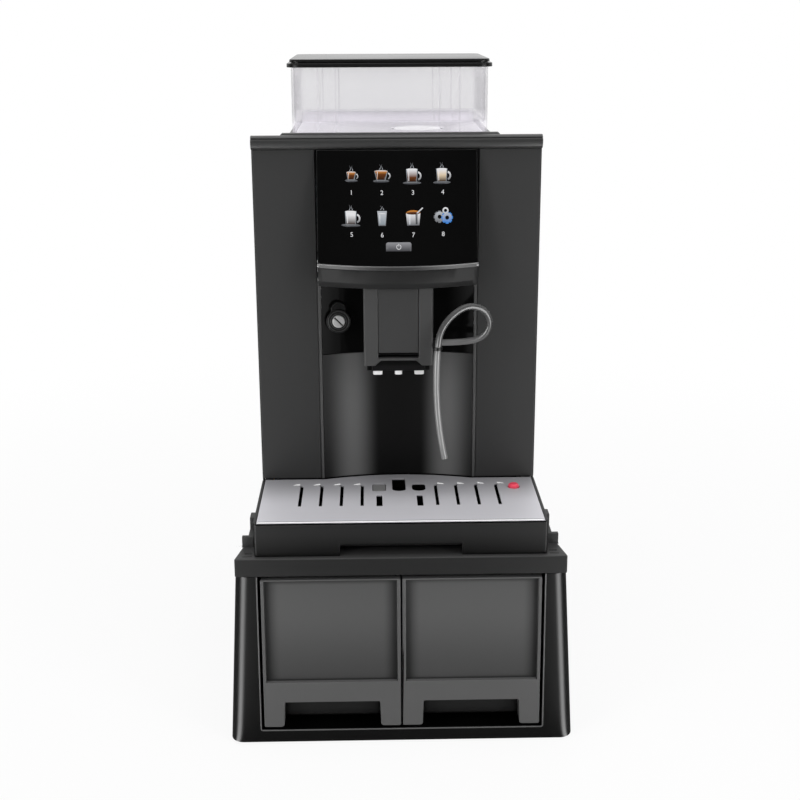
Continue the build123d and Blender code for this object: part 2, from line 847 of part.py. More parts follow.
def make_head_housing():
    housing = head_solid(0, head_base, panel_top)
    housing -= block(-head_half + head_wall, head_half - head_wall, front - 1,
                     head_rear + 1, head_base + head_wall, panel_top - head_wall)
    cavity = head_solid(head_wall + glass_wall, head_base + head_wall, panel_top - head_wall)
    housing -= cavity
    housing -= bowed_loft(head_section(head_wall, 0, head_base + brow_roll),
                          head_section(head_wall, 0, trim_low - trim_depth))
    housing -= screen_slab(-1, glass_wall, glass_gap, trim_high, glass_top)
    housing -= trim_ring(0.0, trim_low, trim_high)
    opening_z = (trim_high + panel_top) / 2
    housing -= block(-display_width / 2 - glass_gap, display_width / 2 + glass_gap, front - head_reach * 3,
                     front + 1, opening_z - display_height / 2 - glass_gap,
                     opening_z + display_height / 2 + glass_gap)
    slot_half = spout_half + 2 * spout_gap
    slot_front = front - spout_reach - 2 * spout_gap
    housing -= block(-slot_half, slot_half, slot_front, head_rear + 1, head_base - 1,
                     head_base + brow_roll)
    slot = block(-slot_half, slot_half, slot_front, head_rear + 1, head_base + head_wall, spout_high + 4.0)
    return housing - (slot & cavity_behind_glass())


def trim_ring(gap, z_low, z_high):
    """The bowed band that the trim strip fills."""
    y_ends = front - head_reach
    outer = raised(bowed_sketch(head_half + trim_proud, y_ends - trim_proud, head_bow, head_rear, z_low),
                   z_high - z_low)
    depth = trim_depth - gap
    return outer - raised(bowed_sketch(head_half + 2, y_ends + depth, head_bow, head_rear + 1, z_low - 1),
                          z_high - z_low + 2)


def cavity_behind_glass():
    """The space behind the glass, over the height of the screen."""
    low = head_section(glass_wall + glass_gap, 0, trim_high)
    high = head_section(glass_wall + glass_gap, 0, glass_top)
    return bowed_loft(low, high)


def make_display():
    """The display behind the glass, with its driver box."""
    mid = (trim_high + panel_top) / 2
    window = block(-display_width / 2, display_width / 2, front - head_reach * 3, front + 20,
                   mid - display_height / 2, mid + display_height / 2)
    panel = screen_slab(glass_wall, glass_wall + display_depth, 4.0, trim_high + 0.5, glass_top - 0.5) & window
    return panel


def liner_sketch(z):
    """Plan outline of the hollow-bowed wall behind the spout."""
    middle = front + liner_bow
    curve = ThreePointArc((-liner_half, front), (0, middle), (liner_half, front))
    rear = ThreePointArc((liner_half, front + liner_wall), (0, middle + liner_wall),
                         (-liner_half, front + liner_wall))
    left = Line((-liner_half, front + liner_wall), (-liner_half, front))
    right = Line((liner_half, front), (liner_half, front + liner_wall))
    return Pos(0, 0, z) * make_face(curve + right + rear + left)


seam_z = tray_top + liner_seam
liner_top = head_base - head_gap
lock_z = tray_top + lock_height


def make_recess_liner():
    liner = raised(liner_sketch(seam_z), liner_top - seam_z)
    tongue = raised(liner_sketch(seam_z), rod_high + 2.0 - seam_z)
    liner += tongue & block(-spout_half, spout_half, front, front + 40, liner_top - 1, rod_high + 2.0)
    return liner - along_y(lock_disc / 2 + running_gap, lock_x, lock_z, front - 20, front + 40)


def make_splash_back():
    return raised(liner_sketch(panel_bottom), seam_z - seam_gap - panel_bottom)


def make_edge_strips():
    x0 = liner_half + strip_gap
    strip = block(x0, x0 + strip_width, front - strip_proud, front + strip_width, panel_bottom, liner_top)
    strip += block(x0, recess_half, front + strip_width / 2, front + 1.5 * strip_width,
                   panel_bottom, liner_top)
    return group(mirrored(strip))


def make_lock_boss():
    """Keyhole-shaped boss with a tab above the turning disc."""
    y0 = front - lock_depth
    boss = along_y(lock_radius, lock_x, lock_z, y0, front + liner_bow)
    tab = block(lock_x - lock_tab_width / 2, lock_x + lock_tab_width / 2, y0 + 1.0, front + liner_bow,
                lock_z, lock_z + lock_tab_height - lock_tab_width / 2)
    tab += along_y(lock_tab_width / 2, lock_x, lock_z + lock_tab_height - lock_tab_width / 2,
                   y0 + 1.0, front + liner_bow)
    boss = boss + tab
    boss -= wall_behind(lock_z - 2 * lock_radius, 4 * lock_radius)
    boss -= along_y(lock_disc + 1.2, lock_x, lock_z, y0 - 1, y0 + 1.5)
    return boss - along_y(lock_disc / 2 + running_gap, lock_x, lock_z, y0 - 1, front + 40)


def make_lock_disc():
    """Slotted quarter-turn disc on its stem."""
    y0 = front - lock_depth
    disc = along_y(lock_disc, lock_x, lock_z, y0 - 1.6, y0 + 1.2)
    disc = fillet(disc.edges().group_by(Axis.Y)[0], 0.8)
    slot = Pos(lock_x, y0 - 1.6, lock_z) * Rot(0, 45, 0) * Box(1.6, 2.2, 3 * lock_disc)
    disc += along_y(lock_disc / 2, lock_x, lock_z, y0 + 1.2, front + liner_bow + liner_wall)
    return disc - slot


# Spout
spout_low = tray_top + spout_bottom
spout_high = spout_low + spout_height
spout_front = front - spout_reach
rod_y = front - guide_setback
cover_low = spout_low + spout_cover_rise
bracket_half = guide_spread + guide_rod + 2.0
rod_low = spout_low + rod_under
rod_high = spout_high + rod_over
nozzle_y = front - nozzle_reach


def make_spout_guide():
    """Two upright rods in brackets on the wall behind the spout."""
    guide = []
    for z in (rod_low, rod_high - bracket_height):
        bar = block(-bracket_half, bracket_half, rod_y - guide_rod - 1.5, front + liner_bow, z,
                    z + bracket_height)
        guide.append(bar - wall_behind(z, bracket_height))
    solid = guide[0] + guide[1]
    for side in (-1, 1):
        solid += upright(guide_rod, side * guide_spread, rod_y, rod_low, rod_high)
    return solid


def wall_behind(z, height):
    """Everything behind the face of the hollow-bowed wall, over a height."""
    half = liner_half
    curve = ThreePointArc((-half, front), (0, front + liner_bow), (half, front))
    sides = Polyline((half, front), (half, front + 40), (-half, front + 40), (-half, front))
    return raised(Pos(0, 0, z - 1) * make_face(curve + sides), height + 2)


def make_spout_body():
    """Spout housing: a front and two sides, with two bored carriage blocks inside."""
    rear = front + spout_rear
    body = block(-spout_half, spout_half, spout_front, rear, spout_low, spout_high)
    body = fillet(body.edges().filter_by(Axis.Z).group_by(Axis.Y)[0], 2.0)
    wall = spout_wall + spout_cover_depth
    cavity = block(-spout_half + spout_wall, spout_half - spout_wall, spout_front + wall, rear + 1,
                   spout_low - 1, spout_high + 1)
    lean = spout_lean_height + wall * spout_lean_height / spout_lean_depth
    cavity -= prism_x([(spout_front, spout_high + 1), (spout_front, spout_high - lean),
                       (spout_front + wall, spout_high - lean),
                       (spout_front + wall + spout_lean_depth * 1.4, spout_high - lean
                        + spout_lean_height * 1.4), (spout_front + wall, spout_high + 30)],
                      -spout_half, spout_half)
    body -= cavity
    body -= block(-spout_cover_half - spout_gap, spout_cover_half + spout_gap, spout_front - 1,
                  spout_front + spout_cover_depth, cover_low - 6.0, spout_high + 1)
    body -= block(-spout_cover_half - spout_gap, spout_cover_half + spout_gap, spout_front - 1,
                  spout_front + wall + 1, cover_low - cover_slot, cover_low)
    lip = cover_low - lip_drop
    slant = spout_low
    body -= prism_y([(-spout_cover_half + 2, lip), (-spout_cover_half - 4, slant), (-spout_half - 1, slant - 1),
                     (spout_half + 1, slant - 1), (spout_cover_half + 4, slant), (spout_cover_half - 2, lip)],
                    spout_front - 1, spout_front + wall + 1)
    body -= prism_x([(spout_front - 1, spout_high + 1), (spout_front - 1, spout_high - spout_lean_height),
                     (spout_front, spout_high - spout_lean_height),
                     (spout_front + spout_lean_depth, spout_high),
                     (spout_front + spout_lean_depth, spout_high + 1)], -spout_half - 1, spout_half + 1)
    for z in (spout_low + carriage_low, spout_high - carriage_top):
        carriage = block(-spout_half + spout_wall, spout_half - spout_wall, spout_front + wall,
                         rod_y + guide_rod + spout_wall, z, z + carriage_height)
        for side in (-1, 1):
            carriage -= upright(guide_rod + running_gap, side * guide_spread, rod_y, z - 1,
                                z + carriage_height + 1)
        body += carriage
    return body


def make_spout_cover():
    return block(-spout_cover_half, spout_cover_half, spout_front + cover_inset,
                 spout_front + spout_cover_depth, cover_low, spout_high - spout_lean_height)


def make_nozzle_block():
    """Black block under the spout that holds the outlets."""
    wall = spout_wall + spout_cover_depth
    lip = cover_low - lip_drop
    gap = 0.15
    bottom = spout_low - nozzle_drop + nozzle_stub
    plug = prism_y([(-spout_cover_half + 2 + gap, lip - gap), (-spout_cover_half - 4 + gap, spout_low),
                    (spout_cover_half + 4 - gap, spout_low), (spout_cover_half - 2 - gap, lip - gap)],
                   spout_front + 0.6, spout_front + wall)
    plate = block(-spout_half + spout_wall + 0.2, spout_half - spout_wall - 0.2, spout_front + wall,
                  rod_y - guide_rod - 3.0, bottom, spout_low + 4.0)
    skirt = prism_x([(spout_front + 0.6, spout_low), (spout_front + wall, spout_low),
                     (spout_front + wall, bottom), (spout_front + 4.0, bottom)],
                    -spout_cover_half - 7, spout_cover_half + 7)
    return plug + plate + skirt


def make_nozzles():
    """Three outlets under the block."""
    tips = []
    top = spout_low - nozzle_drop + nozzle_stub
    for x, width in ((-nozzle_spread, nozzle_width), (0.0, nozzle_middle), (nozzle_spread, nozzle_width)):
        tip = rounded_slab(width, nozzle_depth, 2.4, x, nozzle_y, top - nozzle_stub, top)
        tip -= rounded_slab(width - 3.0, nozzle_depth - 3.0, 1.2, x, nozzle_y, top - nozzle_stub - 1, top - 1.2)
        tips.append(tip)
    return group(tips)


def make_hose_holder():
    """Hose socket on the spout's side, with the arm and the ring that guide the hanging hose."""
    start = hose_route[0]
    hold = hose_route[8]
    socket = along_x(hose_diameter / 2 + holder_wall, start[1], start[2], spout_half, start[0])
    ring = upright(hose_diameter / 2 + holder_wall, hold[0], hold[1], hold[2] - holder_wall,
                   hold[2] + holder_wall)
    arm = block(spout_half, spout_half + holder_wall, hold[1], start[1], hold[2] - holder_wall,
                hold[2] + holder_wall)
    holder = ring + arm + socket
    return holder - upright(hose_diameter / 2 + holder_gap, hold[0], hold[1], hold[2] - 5, hold[2] + 5)


def route_radii(points):
    """Radius of the arc at each inner point of a route."""
    radii = []
    for i in range(1, len(points) - 1):
        into = Vector(*points[i]) - Vector(*points[i - 1])
        away = Vector(*points[i + 1]) - Vector(*points[i])
        half_turn = math.radians(into.get_angle(away)) / 2
        radii.append(route_share * min(into.length, away.length) / math.tan(half_turn))
    return radii


def tube(points, radius):
    """A round tube along straight runs joined by tangent arcs."""
    path = FilletPolyline(*points, radius=route_radii(points))
    start = Plane(origin=path @ 0, z_dir=path % 0)
    return sweep(start * Circle(radius), path=path), path


def make_milk_hose():
    hose, path = tube(hose_route, hose_diameter / 2)
    print("hose radii", [round(r, 1) for r in route_radii(hose_route)])
    print("hose length", round(path.length, 1), "volume over section times length",
          round(hose.volume / (math.pi * hose_diameter ** 2 / 4 * path.length), 4))
    return hose


# Drip tray
tray_bottom = deck_top + tray_clear
plate_low = tray_top - plate_wall
cavity_floor = tray_bottom + tray_wall


def make_drip_tray():
    """Tray with a full-width front and a narrower tail that runs in under the body."""
    head = block(-body_half, body_half, tray_front, front - 1.2, tray_bottom, tray_top - rim_lip)
    head = fillet(head.edges().filter_by(Axis.Z).group_by(Axis.Y)[0], 3.0)
    tray = head + block(-tray_tail_half, tray_tail_half, front - 1.2, tail_rear, tray_bottom, plate_low)
    tray -= block(-plate_width / 2 - plate_gap, plate_width / 2 + plate_gap, tray_front - 1, front,
                  plate_low, tray_top + 1)
    rim = tray_wall + 4.0
    tray -= block(-plate_width / 2 + rim / 2, plate_width / 2 - rim / 2, tray_front + rim, front - 1.2 - rim,
                  cavity_floor, tray_top)
    tray -= block(-tray_tail_half + tray_wall, tray_tail_half - tray_wall, front - 2.0 - rim,
                  tail_rear - tray_wall, cavity_floor, tray_top)
    notch = prism_x([(tray_front - 1, tray_bottom - 1), (tray_front - 1, tray_bottom + tray_notch_height + 5),
                     (tray_front + 4, tray_bottom + tray_notch_height),
                     (tray_front + tray_notch_depth, tray_bottom + tray_notch_height),
                     (tray_front + tray_notch_depth, tray_bottom - 1)],
                    -tray_notch_width / 2, tray_notch_width / 2)
    shield = prism_x([(tray_front + 3, tray_bottom), (tray_front + 3, tray_bottom + tray_notch_height + 8),
                      (tray_front + tray_notch_depth + 3, tray_bottom + tray_notch_height + 8),
                      (tray_front + tray_notch_depth + 3, tray_bottom)],
                     -tray_notch_width / 2 - 3, tray_notch_width / 2 + 3)
    tray += shield
    return tray - notch


def make_drip_plate():
    """Steel plate with its slots, windows and the float's hole."""
    half = plate_width / 2
    y_front = tray_front + 0.2
    y_rear = front - plate_back_gap
    bulge = liner_half - 2.0
    curve = ThreePointArc((bulge, y_rear), (0, front + liner_bow - plate_back_gap), (-bulge, y_rear))
    edge = Polyline((-bulge, y_rear), (-half, y_rear), (-half, y_front), (half, y_front), (half, y_rear),
                    (bulge, y_rear))
    plate = raised(Pos(0, 0, plate_low + running_gap) * make_face(edge + curve), plate_wall - running_gap)
    cuts = []
    for side in (-1, 1):
        for row in range(4):
            x = side * (slot_first + row * slot_pitch)
            cuts.append(slot_cut(x, slot_width, slot_start + slot_hook, slot_end))
            hook = [(x - side * slot_width / 2, front - slot_start - slot_hook),
                    (x + side * slot_width / 2, front - slot_start - slot_hook),
                    (x + side * (slot_hook + slot_width / 2), front - slot_start),
                    (x + side * (slot_hook - slot_width / 2), front - slot_start)]
            cuts.append(prism_z(hook, plate_low - 1, tray_top + 1))
        cuts.append(slot_cut(side * short_slot_x, short_slot_width, short_slot_start, short_slot_end))
        cuts.append(slot_cut(side * short_slot_x, window_width, window_start, window_end))
    cuts.append(slot_cut(0.0, window_width, middle_window_start, window_end))
    for cut in cuts:
        plate -= cut
    return plate - upright(float_radius + float_gap, float_x, front - float_back, plate_low - 1, tray_top + 1)


def slot_cut(x, width, start, end):
    """A cutter through the plate, from a start to an end in front of the panels."""
    return block(x - width / 2, x + width / 2, front - end, front - start, plate_low - 1, tray_top + 1)


def make_float():
    """Red float that rises through the plate when the tray is full."""
    y = front - float_back
    low = cavity_floor + tray_clear
    body = upright(float_disc, float_x, y, low, low + 12.0)
    body += upright(float_radius, float_x, y, low, tray_top + float_proud)
    return fillet(body.edges().group_by(Axis.Z)[-1], float_radius * 0.6)


# Hopper
hopper_high = panel_top + hopper_rise
grinder_y = front + grinder_back
funnel_high = hopper_bottom + hopper_floor - hopper_seat
funnel_low = funnel_high - funnel_drop
throat_half = dial_radius + 5.0


def funnel(low):
    """A four-sided space that narrows from the hopper's walls down to the throat."""
    high = low + funnel_drop
    half_x = (hopper_width - hopper_wall) / 2
    half_y = (hopper_depth - hopper_wall) / 2
    across = prism_y([(grinder_x - throat_half, low), (grinder_x + throat_half, low),
                      (hopper_x + half_x, high), (hopper_x - half_x, high)],
                     hopper_front, hopper_front + hopper_depth)
    along = prism_x([(grinder_y - throat_half, low), (grinder_y + throat_half, low),
                     (hopper_y + half_y, high), (hopper_y - half_y, high)],
                    hopper_x - hopper_width / 2, hopper_x + hopper_width / 2)
    return across & along


def make_hopper():
    """Clear bean box with a sloping floor that falls to the grinder's throat."""
    box = rounded_slab(hopper_width, hopper_depth, hopper_corner, hopper_x, hopper_y,
                       hopper_bottom, hopper_high)
    inner_x = hopper_width / 2 - hopper_wall
    inner_y = hopper_depth / 2 - hopper_wall
    box -= rounded_slab(2 * inner_x, 2 * inner_y, hopper_corner - hopper_wall, hopper_x, hopper_y,
                        hopper_bottom - 1, hopper_high + 1)
    rib_y = hopper_front + hopper_wall
    for x in (-75.0, -54.0, 54.0, 75.0):
        box += block(hopper_x + x - hopper_rib / 2, hopper_x + x + hopper_rib / 2, rib_y - 0.5, rib_y + 3.0,
                     funnel_high - 2.0, hopper_high - 12.0)
    slab = funnel(funnel_low) - funnel(funnel_low + hopper_wall)
    slab &= rounded_slab(hopper_width - hopper_wall, hopper_depth - hopper_wall, hopper_corner - hopper_wall / 2,
                         hopper_x, hopper_y, funnel_low - 1, funnel_high + 1)
    throat = block(grinder_x - throat_half - 2, grinder_x + throat_half + 2, grinder_y - throat_half - 2,
                   grinder_y + throat_half + 2, case_top, funnel_low + hopper_wall)
    throat -= block(grinder_x - throat_half, grinder_x + throat_half, grinder_y - throat_half,
                    grinder_y + throat_half, case_top - 1, funnel_low + hopper_wall + 1)
    return box + slab + throat


def make_hopper_lid():
    """Two-tier lid that lifts off."""
    width = hopper_width + 2 * lid_side
    depth = hopper_depth + 2 * lid_side
    low = hopper_high - lid_skirt
    skirt = rounded_slab(width, depth, hopper_corner + lid_side, hopper_x, hopper_y, low, hopper_high + lid_rise)
    skirt = fillet(skirt.edges().group_by(Axis.Z)[-1], 1.0)
    skirt -= rounded_slab(hopper_width + 2 * lid_gap, hopper_depth + 2 * lid_gap, hopper_corner + lid_gap,
                          hopper_x, hopper_y, low - 1, hopper_high)
    neck = rounded_slab(width - 2 * lid_upper_inset - 3, depth - 2 * lid_upper_inset - 3, hopper_corner,
                        hopper_x, hopper_y, hopper_high, hopper_high + lid_rise + lid_groove)
    upper = rounded_slab(width - 2 * lid_upper_inset, depth - 2 * lid_upper_inset, hopper_corner + 1,
                         hopper_x, hopper_y, hopper_high + lid_rise + lid_groove,
                         hopper_high + lid_rise + lid_groove + lid_upper)
    upper = fillet(upper.edges().group_by(Axis.Z)[-1], 1.4)
    return skirt + neck + upper


# Grinder
case_low = shelf_z + motor_height
case_top = case_low + burr_case_height
rotor_low = case_low + 4.0
upper_burr_low = rotor_low + rotor_height + rotor_gap
case_bore = burr_radius + 1.0


def make_grinder_case():
    """Motor housing with the burr chamber and the outlet towards the front."""
    case = upright(motor_radius, grinder_x, grinder_y, shelf_z, case_low)
    for row in range(5):
        z = shelf_z + (row + 1) * fin_pitch
        case += upright(motor_radius + fin_wall, grinder_x, grinder_y, z, z + fin_wall)
    case += upright(burr_case_radius, grinder_x, grinder_y, case_low, case_top)
    case -= upright(case_bore, grinder_x, grinder_y, rotor_low - 0.5, case_top + 1)
    case -= upright(shaft_radius + running_gap, grinder_x, grinder_y, shelf_z + 8.0, case_top)
    outlet = powder_duct_width / 2 - 4.0
    return case - block(grinder_x - outlet, grinder_x + outlet, grinder_y - burr_case_radius - 1, grinder_y - 10,
                        rotor_low, rotor_low + rotor_height - 1)


def make_upper_burr():
    """Fixed burr with the spider that carries the dial's stem."""
    ring = upright(case_bore - running_gap, grinder_x, grinder_y, upper_burr_low, case_top - 2.0)
    ring -= upright(burr_bore, grinder_x, grinder_y, upper_burr_low - 1, case_top)
    hub = upright(dial_stem + 3.0, grinder_x, grinder_y, case_top - 8.0, case_top - 2.0)
    spider = block(grinder_x - burr_bore - 2, grinder_x + burr_bore + 2, grinder_y - 2, grinder_y + 2,
                   case_top - 8.0, case_top - 3.0)
    burr = ring + spider + hub
    return burr - upright(dial_stem + running_gap, grinder_x, grinder_y, upper_burr_low - 1, case_top)


def make_grinder_rotor():
    """Lower burr on its shaft."""
    disc = upright(burr_radius, grinder_x, grinder_y, rotor_low, rotor_low + rotor_height)
    disc -= upright(burr_bore, grinder_x, grinder_y, rotor_low + rotor_height * 0.6, rotor_low + rotor_height + 1)
    for step in range(12):
        turn = Pos(grinder_x, grinder_y, rotor_low + rotor_height) * Rot(0, 0, step * 30)
        disc -= turn * Pos(burr_radius * 0.8, 0, 0) * Box(burr_radius * 0.5, 1.6, 2.4)
    return disc + upright(shaft_radius, grinder_x, grinder_y, shelf_z + 9.0, rotor_low + 1)


def make_grind_dial():
    """White dial over the throat, on the stem that sets the burr gap."""
    low = case_top + dial_rise
    dial = upright(dial_radius, grinder_x, grinder_y, low, low + dial_height)
    dial = fillet(dial.edges().group_by(Axis.Z)[-1], dial_height * 0.55)
    dial += block(grinder_x - dial_grip_half, grinder_x + dial_grip_half, grinder_y - dial_grip / 2,
                  grinder_y + dial_grip / 2, low + dial_height - 1, low + dial_height + dial_grip)
    return dial + upright(dial_stem, grinder_x, grinder_y, case_top - dial_rise, low + 1)


duct_y = grinder_y - burr_case_radius - powder_duct_depth / 2
brew_y = front + brew_back
cylinder_low = tray_top + brew_cylinder_base
cylinder_high = cylinder_low + brew_cylinder_height
frame_high = cylinder_high + 3.0 + brew_plate


def make_powder_duct():
    """Duct from the grinder's outlet down to the brew chamber."""
    half = powder_duct_width / 2
    y0 = duct_y - powder_duct_depth / 2
    y1 = duct_y + powder_duct_depth / 2
    top = rotor_low + rotor_height + 4.0
    duct = block(grinder_x - half, grinder_x + half, y0, y1, frame_high, top)
    duct -= block(grinder_x - half + 2, grinder_x + half - 2, y0 + 2, y1 - 2, frame_high - 1, top - 2)
    inlet = powder_duct_width / 2 - 4.0
    duct -= block(grinder_x - inlet, grinder_x + inlet, y1 - 3, y1 + 1, rotor_low, rotor_low + rotor_height - 1)
    return duct


# Brew group
frame_rear = brew_y + brew_radius + brew_wall + 6.0
frame_half = brew_frame_width / 2
bearing_low = pan_top + motor_block_height + 14.0
piston_low = cylinder_low - 15.0
stem_low = piston_low - piston_stem_height


def make_brew_frame():
    """C-shaped frame that ties the spindle's bearing to the cylinder and the top plate."""
    x0 = grinder_x - frame_half
    x1 = grinder_x + frame_half
    y0 = brew_y - brew_radius - 12.0
    frame = block(x0, x1, frame_rear, frame_rear + 6.0, pan_top, frame_high)
    frame += block(x0, x1, y0, frame_rear, frame_high - brew_plate, frame_high)
    frame += block(x0, x1, y0, frame_rear, bearing_low, bearing_low + brew_plate)
    arm_high = cylinder_low + brew_cylinder_height * 0.45
    for x in (x0, x1 - 6.0):
        frame += block(x, x + 6.0, y0, frame_rear, arm_high - 8.0, arm_high)
    frame -= block(grinder_x - powder_duct_width / 2 + 2, grinder_x + powder_duct_width / 2 - 2,
                   duct_y - powder_duct_depth / 2 + 2, duct_y + powder_duct_depth / 2 - 2,
                   frame_high - brew_plate - 1, frame_high + 1)
    return frame - upright(spindle_radius + running_gap, grinder_x, brew_y, bearing_low - 1,
                           bearing_low + brew_plate + 1)


def make_brew_cylinder():
    """Brew chamber with the flange that hangs it in the frame."""
    flange_low = cylinder_low + brew_cylinder_height * 0.45
    tube_wall = upright(brew_radius + brew_wall, grinder_x, brew_y, cylinder_low, cylinder_high)
    flange = upright(brew_flange, grinder_x, brew_y, flange_low, flange_low + brew_flange_height)
    tongue = block(grinder_x - frame_half + 1, grinder_x + frame_half - 1, brew_y - 8, brew_y + 8,
                   flange_low, flange_low + brew_flange_height)
    body = tube_wall + flange + tongue
    return body - upright(brew_radius + running_gap, grinder_x, brew_y, cylinder_low - 1, cylinder_high + 1)


def make_brew_piston():
    """Piston with its nut, which rises on the spindle."""
    head_low = piston_low
    piston = upright(brew_radius, grinder_x, brew_y, head_low, head_low + piston_height)
    for ring in (0.3, 0.65):
        groove_z = head_low + piston_height * ring
        groove = upright(brew_radius + 1, grinder_x, brew_y, groove_z, groove_z + 2.0)
        piston -= groove - upright(brew_radius - 1.2, grinder_x, brew_y, groove_z - 1, groove_z + 3.0)
    piston += upright(piston_stem, grinder_x, brew_y, stem_low, head_low)
    return piston - upright(spindle_radius + running_gap, grinder_x, brew_y, stem_low - 1,
                            head_low + piston_height - 5.0)


def make_drive_spindle():
    """Threaded spindle, drawn as a plain shaft with a collar above the motor."""
    low = pan_top + motor_block_height - 10.0
    top = piston_low + piston_height - 8.0
    spindle = upright(spindle_radius, grinder_x, brew_y, low, top)
    return spindle + upright(spindle_radius + 4.0, grinder_x, brew_y, bearing_low - 6.0, bearing_low - 0.5)


def make_brew_motor():
    """Gear motor that turns the spindle."""
    half = motor_block_width / 2
    top = pan_top + motor_block_height
    motor = block(grinder_x - half, grinder_x + half, brew_y - half, brew_y + half, pan_top, top)
    motor = fillet(motor.edges().filter_by(Axis.Z), 5.0)
    motor += along_x(half * 0.7, brew_y, pan_top + motor_block_height / 2, grinder_x + half,
                     grinder_x + half + 34.0)
    return motor - upright(spindle_radius + running_gap, grinder_x, brew_y, top - 12.0, top + 1)


def make_grounds_chute():
    """Chute that drops the spent grounds from the brew chamber into the left drawer."""
    gap = 3.5
    x0 = chute_x - chute_width / 2 + gap
    x1 = chute_x + chute_width / 2 - gap
    mouth = grinder_x - frame_half - 1.0
    top = cylinder_high - 4.0
    y0 = chute_y - chute_length / 2 + gap
    y1 = chute_y + chute_length / 2 - gap - 5.0
    bend = pan_top + chute_bend
    outer = [(x0, pan_bottom), (x1, pan_bottom), (x1, bend), (mouth, top - chute_lip), (mouth, top),
             (mouth - chute_width, top), (x0, bend + chute_lip)]
    inner = [(x0 + chute_wall, pan_bottom - 1), (x1 - chute_wall, pan_bottom - 1), (x1 - chute_wall, bend),
             (mouth - chute_wall, top - chute_lip), (mouth - chute_wall, top + 1),
             (mouth - chute_width + chute_wall, top + 1), (x0 + chute_wall, bend + chute_lip)]
    chute = prism_y(outer, y0, y1)
    chute += block(x0 - gap - 3, x1 + gap + 3, y0 - gap - 3, y1 + gap + 3, pan_top, pan_top + chute_wall)
    return chute - prism_y(inner, y0 + chute_wall, y1 - chute_wall)


# Water circuit
boiler_y = front + boiler_back
pump_y = front + pump_back


def make_water_tank():
    """Open water tank that lifts out through the top."""
    low = tank_low + tray_clear
    tank = block(-tank_width / 2, tank_width / 2, tank_front, tank_front + tank_depth, low, low + tank_height)
    tank = fillet(tank.edges().filter_by(Axis.Z), 6.0)
    hollow = block(-tank_width / 2 + tank_wall, tank_width / 2 - tank_wall, tank_front + tank_wall,
                   tank_front + tank_depth - tank_wall, low + tank_wall, low + tank_height + 1)
    return tank - fillet(hollow.edges().filter_by(Axis.Z), 4.0)


def make_tank_lid():
    """Lid over the tank's opening, which follows the sloping top and has a grip recess."""
    y0 = tank_front - tank_gap - 3.0
    y1 = min(tank_front + tank_depth + tank_gap + 3.0, back - 0.5)
    half = tank_width / 2 + tank_gap + 3.0
    lift = plate_gap
    lid = prism_x([(y0, top_z(y0) + lift), (y1, top_z(y1) + lift), (y1, top_z(y1) + lift + tank_lid_wall),
                   (y0, top_z(y0) + lift + tank_lid_wall)], -half, half)
    low = tank_low + tray_clear + tank_height
    ring = block(-tank_width / 2, tank_width / 2, tank_front, tank_front + tank_depth, low, top_z(y0))
    ring -= block(-tank_width / 2 + 4, tank_width / 2 - 4, tank_front + 4, tank_front + tank_depth - 4,
                  low - 1, top_z(y0) + 1)
    over = prism_x([(y0 - 1, top_z(y0 - 1) + lift), (y1 + 1, top_z(y1 + 1) + lift),
                    (y1 + 1, cap_top), (y0 - 1, cap_top)], -half - 1, half + 1)
    lid += ring - over
    grip = block(-tank_width * 0.12, tank_width * 0.12, tank_y - 10, tank_y + 10,
                 top_z(tank_y) + lift + tank_lid_wall - 1.6, cap_top)
    return lid - grip


def make_boiler():
    """Upright boiler with domed ends on a foot ring."""
    body = upright(boiler_radius, boiler_x, boiler_y, pan_top + 6.0, pan_top + 6.0 + boiler_height)
    body = fillet(body.edges().filter_by(GeomType.CIRCLE), boiler_radius * 0.4)
    body += upright(boiler_radius * 0.7, boiler_x, boiler_y, pan_top, pan_top + 8.0)
    body += upright(boiler_radius + 3.0, boiler_x, boiler_y, pan_top + boiler_height / 2,
                    pan_top + boiler_height / 2 + 8.0)
    return body + upright(6.0, boiler_x, boiler_y, pan_top + boiler_height, pan_top + boiler_height + 20.0)


def make_pump():
    """Vibrating pump on its bracket."""
    y0 = pump_y - pump_length / 2
    axis_z = pan_top + pump_radius + 6.0
    pump = along_y(pump_radius * 0.6, pump_x, axis_z, y0, y0 + pump_length)
    pump += along_y(pump_radius, pump_x, axis_z, y0 + pump_length * 0.3, y0 + pump_length * 0.75)
    pump += block(pump_x - pump_radius, pump_x + pump_radius, y0 + pump_length * 0.35, y0 + pump_length * 0.7,
                  pan_top, axis_z)
    return pump


def make_water_pipes():
    """Pipes from the tank to the pump, from the pump to the boiler and on to the brew frame."""
    pump_z = pan_top + pump_radius + 6.0
    boiler_z = pan_top + boiler_height + 20.0
    pump_rear = pump_y + pump_length / 2
    band_z = pan_top + boiler_height / 2 + 4
    boiler_side = boiler_x + boiler_radius + 3.0
    pipe_x = grinder_x - frame_half - 22.0
    drop_x = grinder_x - frame_half + 10.0
    runs = [
        [(pump_x, pump_rear, pump_z), (pump_x, pump_rear + 13, pump_z), (pump_x - 6, pump_rear + 26, pump_z + 10),
         (pump_x - 10, boiler_y - 30, pump_z + 44), (pump_x - 11, boiler_y - 6, pump_z + 96),
         (boiler_x - 18, boiler_y, boiler_z + 24), (boiler_x, boiler_y, boiler_z + 22),
         (boiler_x, boiler_y, boiler_z)],
        [(boiler_side, boiler_y, band_z), (boiler_side + 16, boiler_y, band_z),
         (pipe_x, boiler_y - 30, band_z + 50), (pipe_x - 2, brew_y + 40, frame_high - 20),
         (pipe_x, brew_y + 8, frame_high + 16), (drop_x, brew_y, frame_high + 18), (drop_x, brew_y, frame_high)],
    ]
    return group([tube(points, pipe_radius)[0] for points in runs])


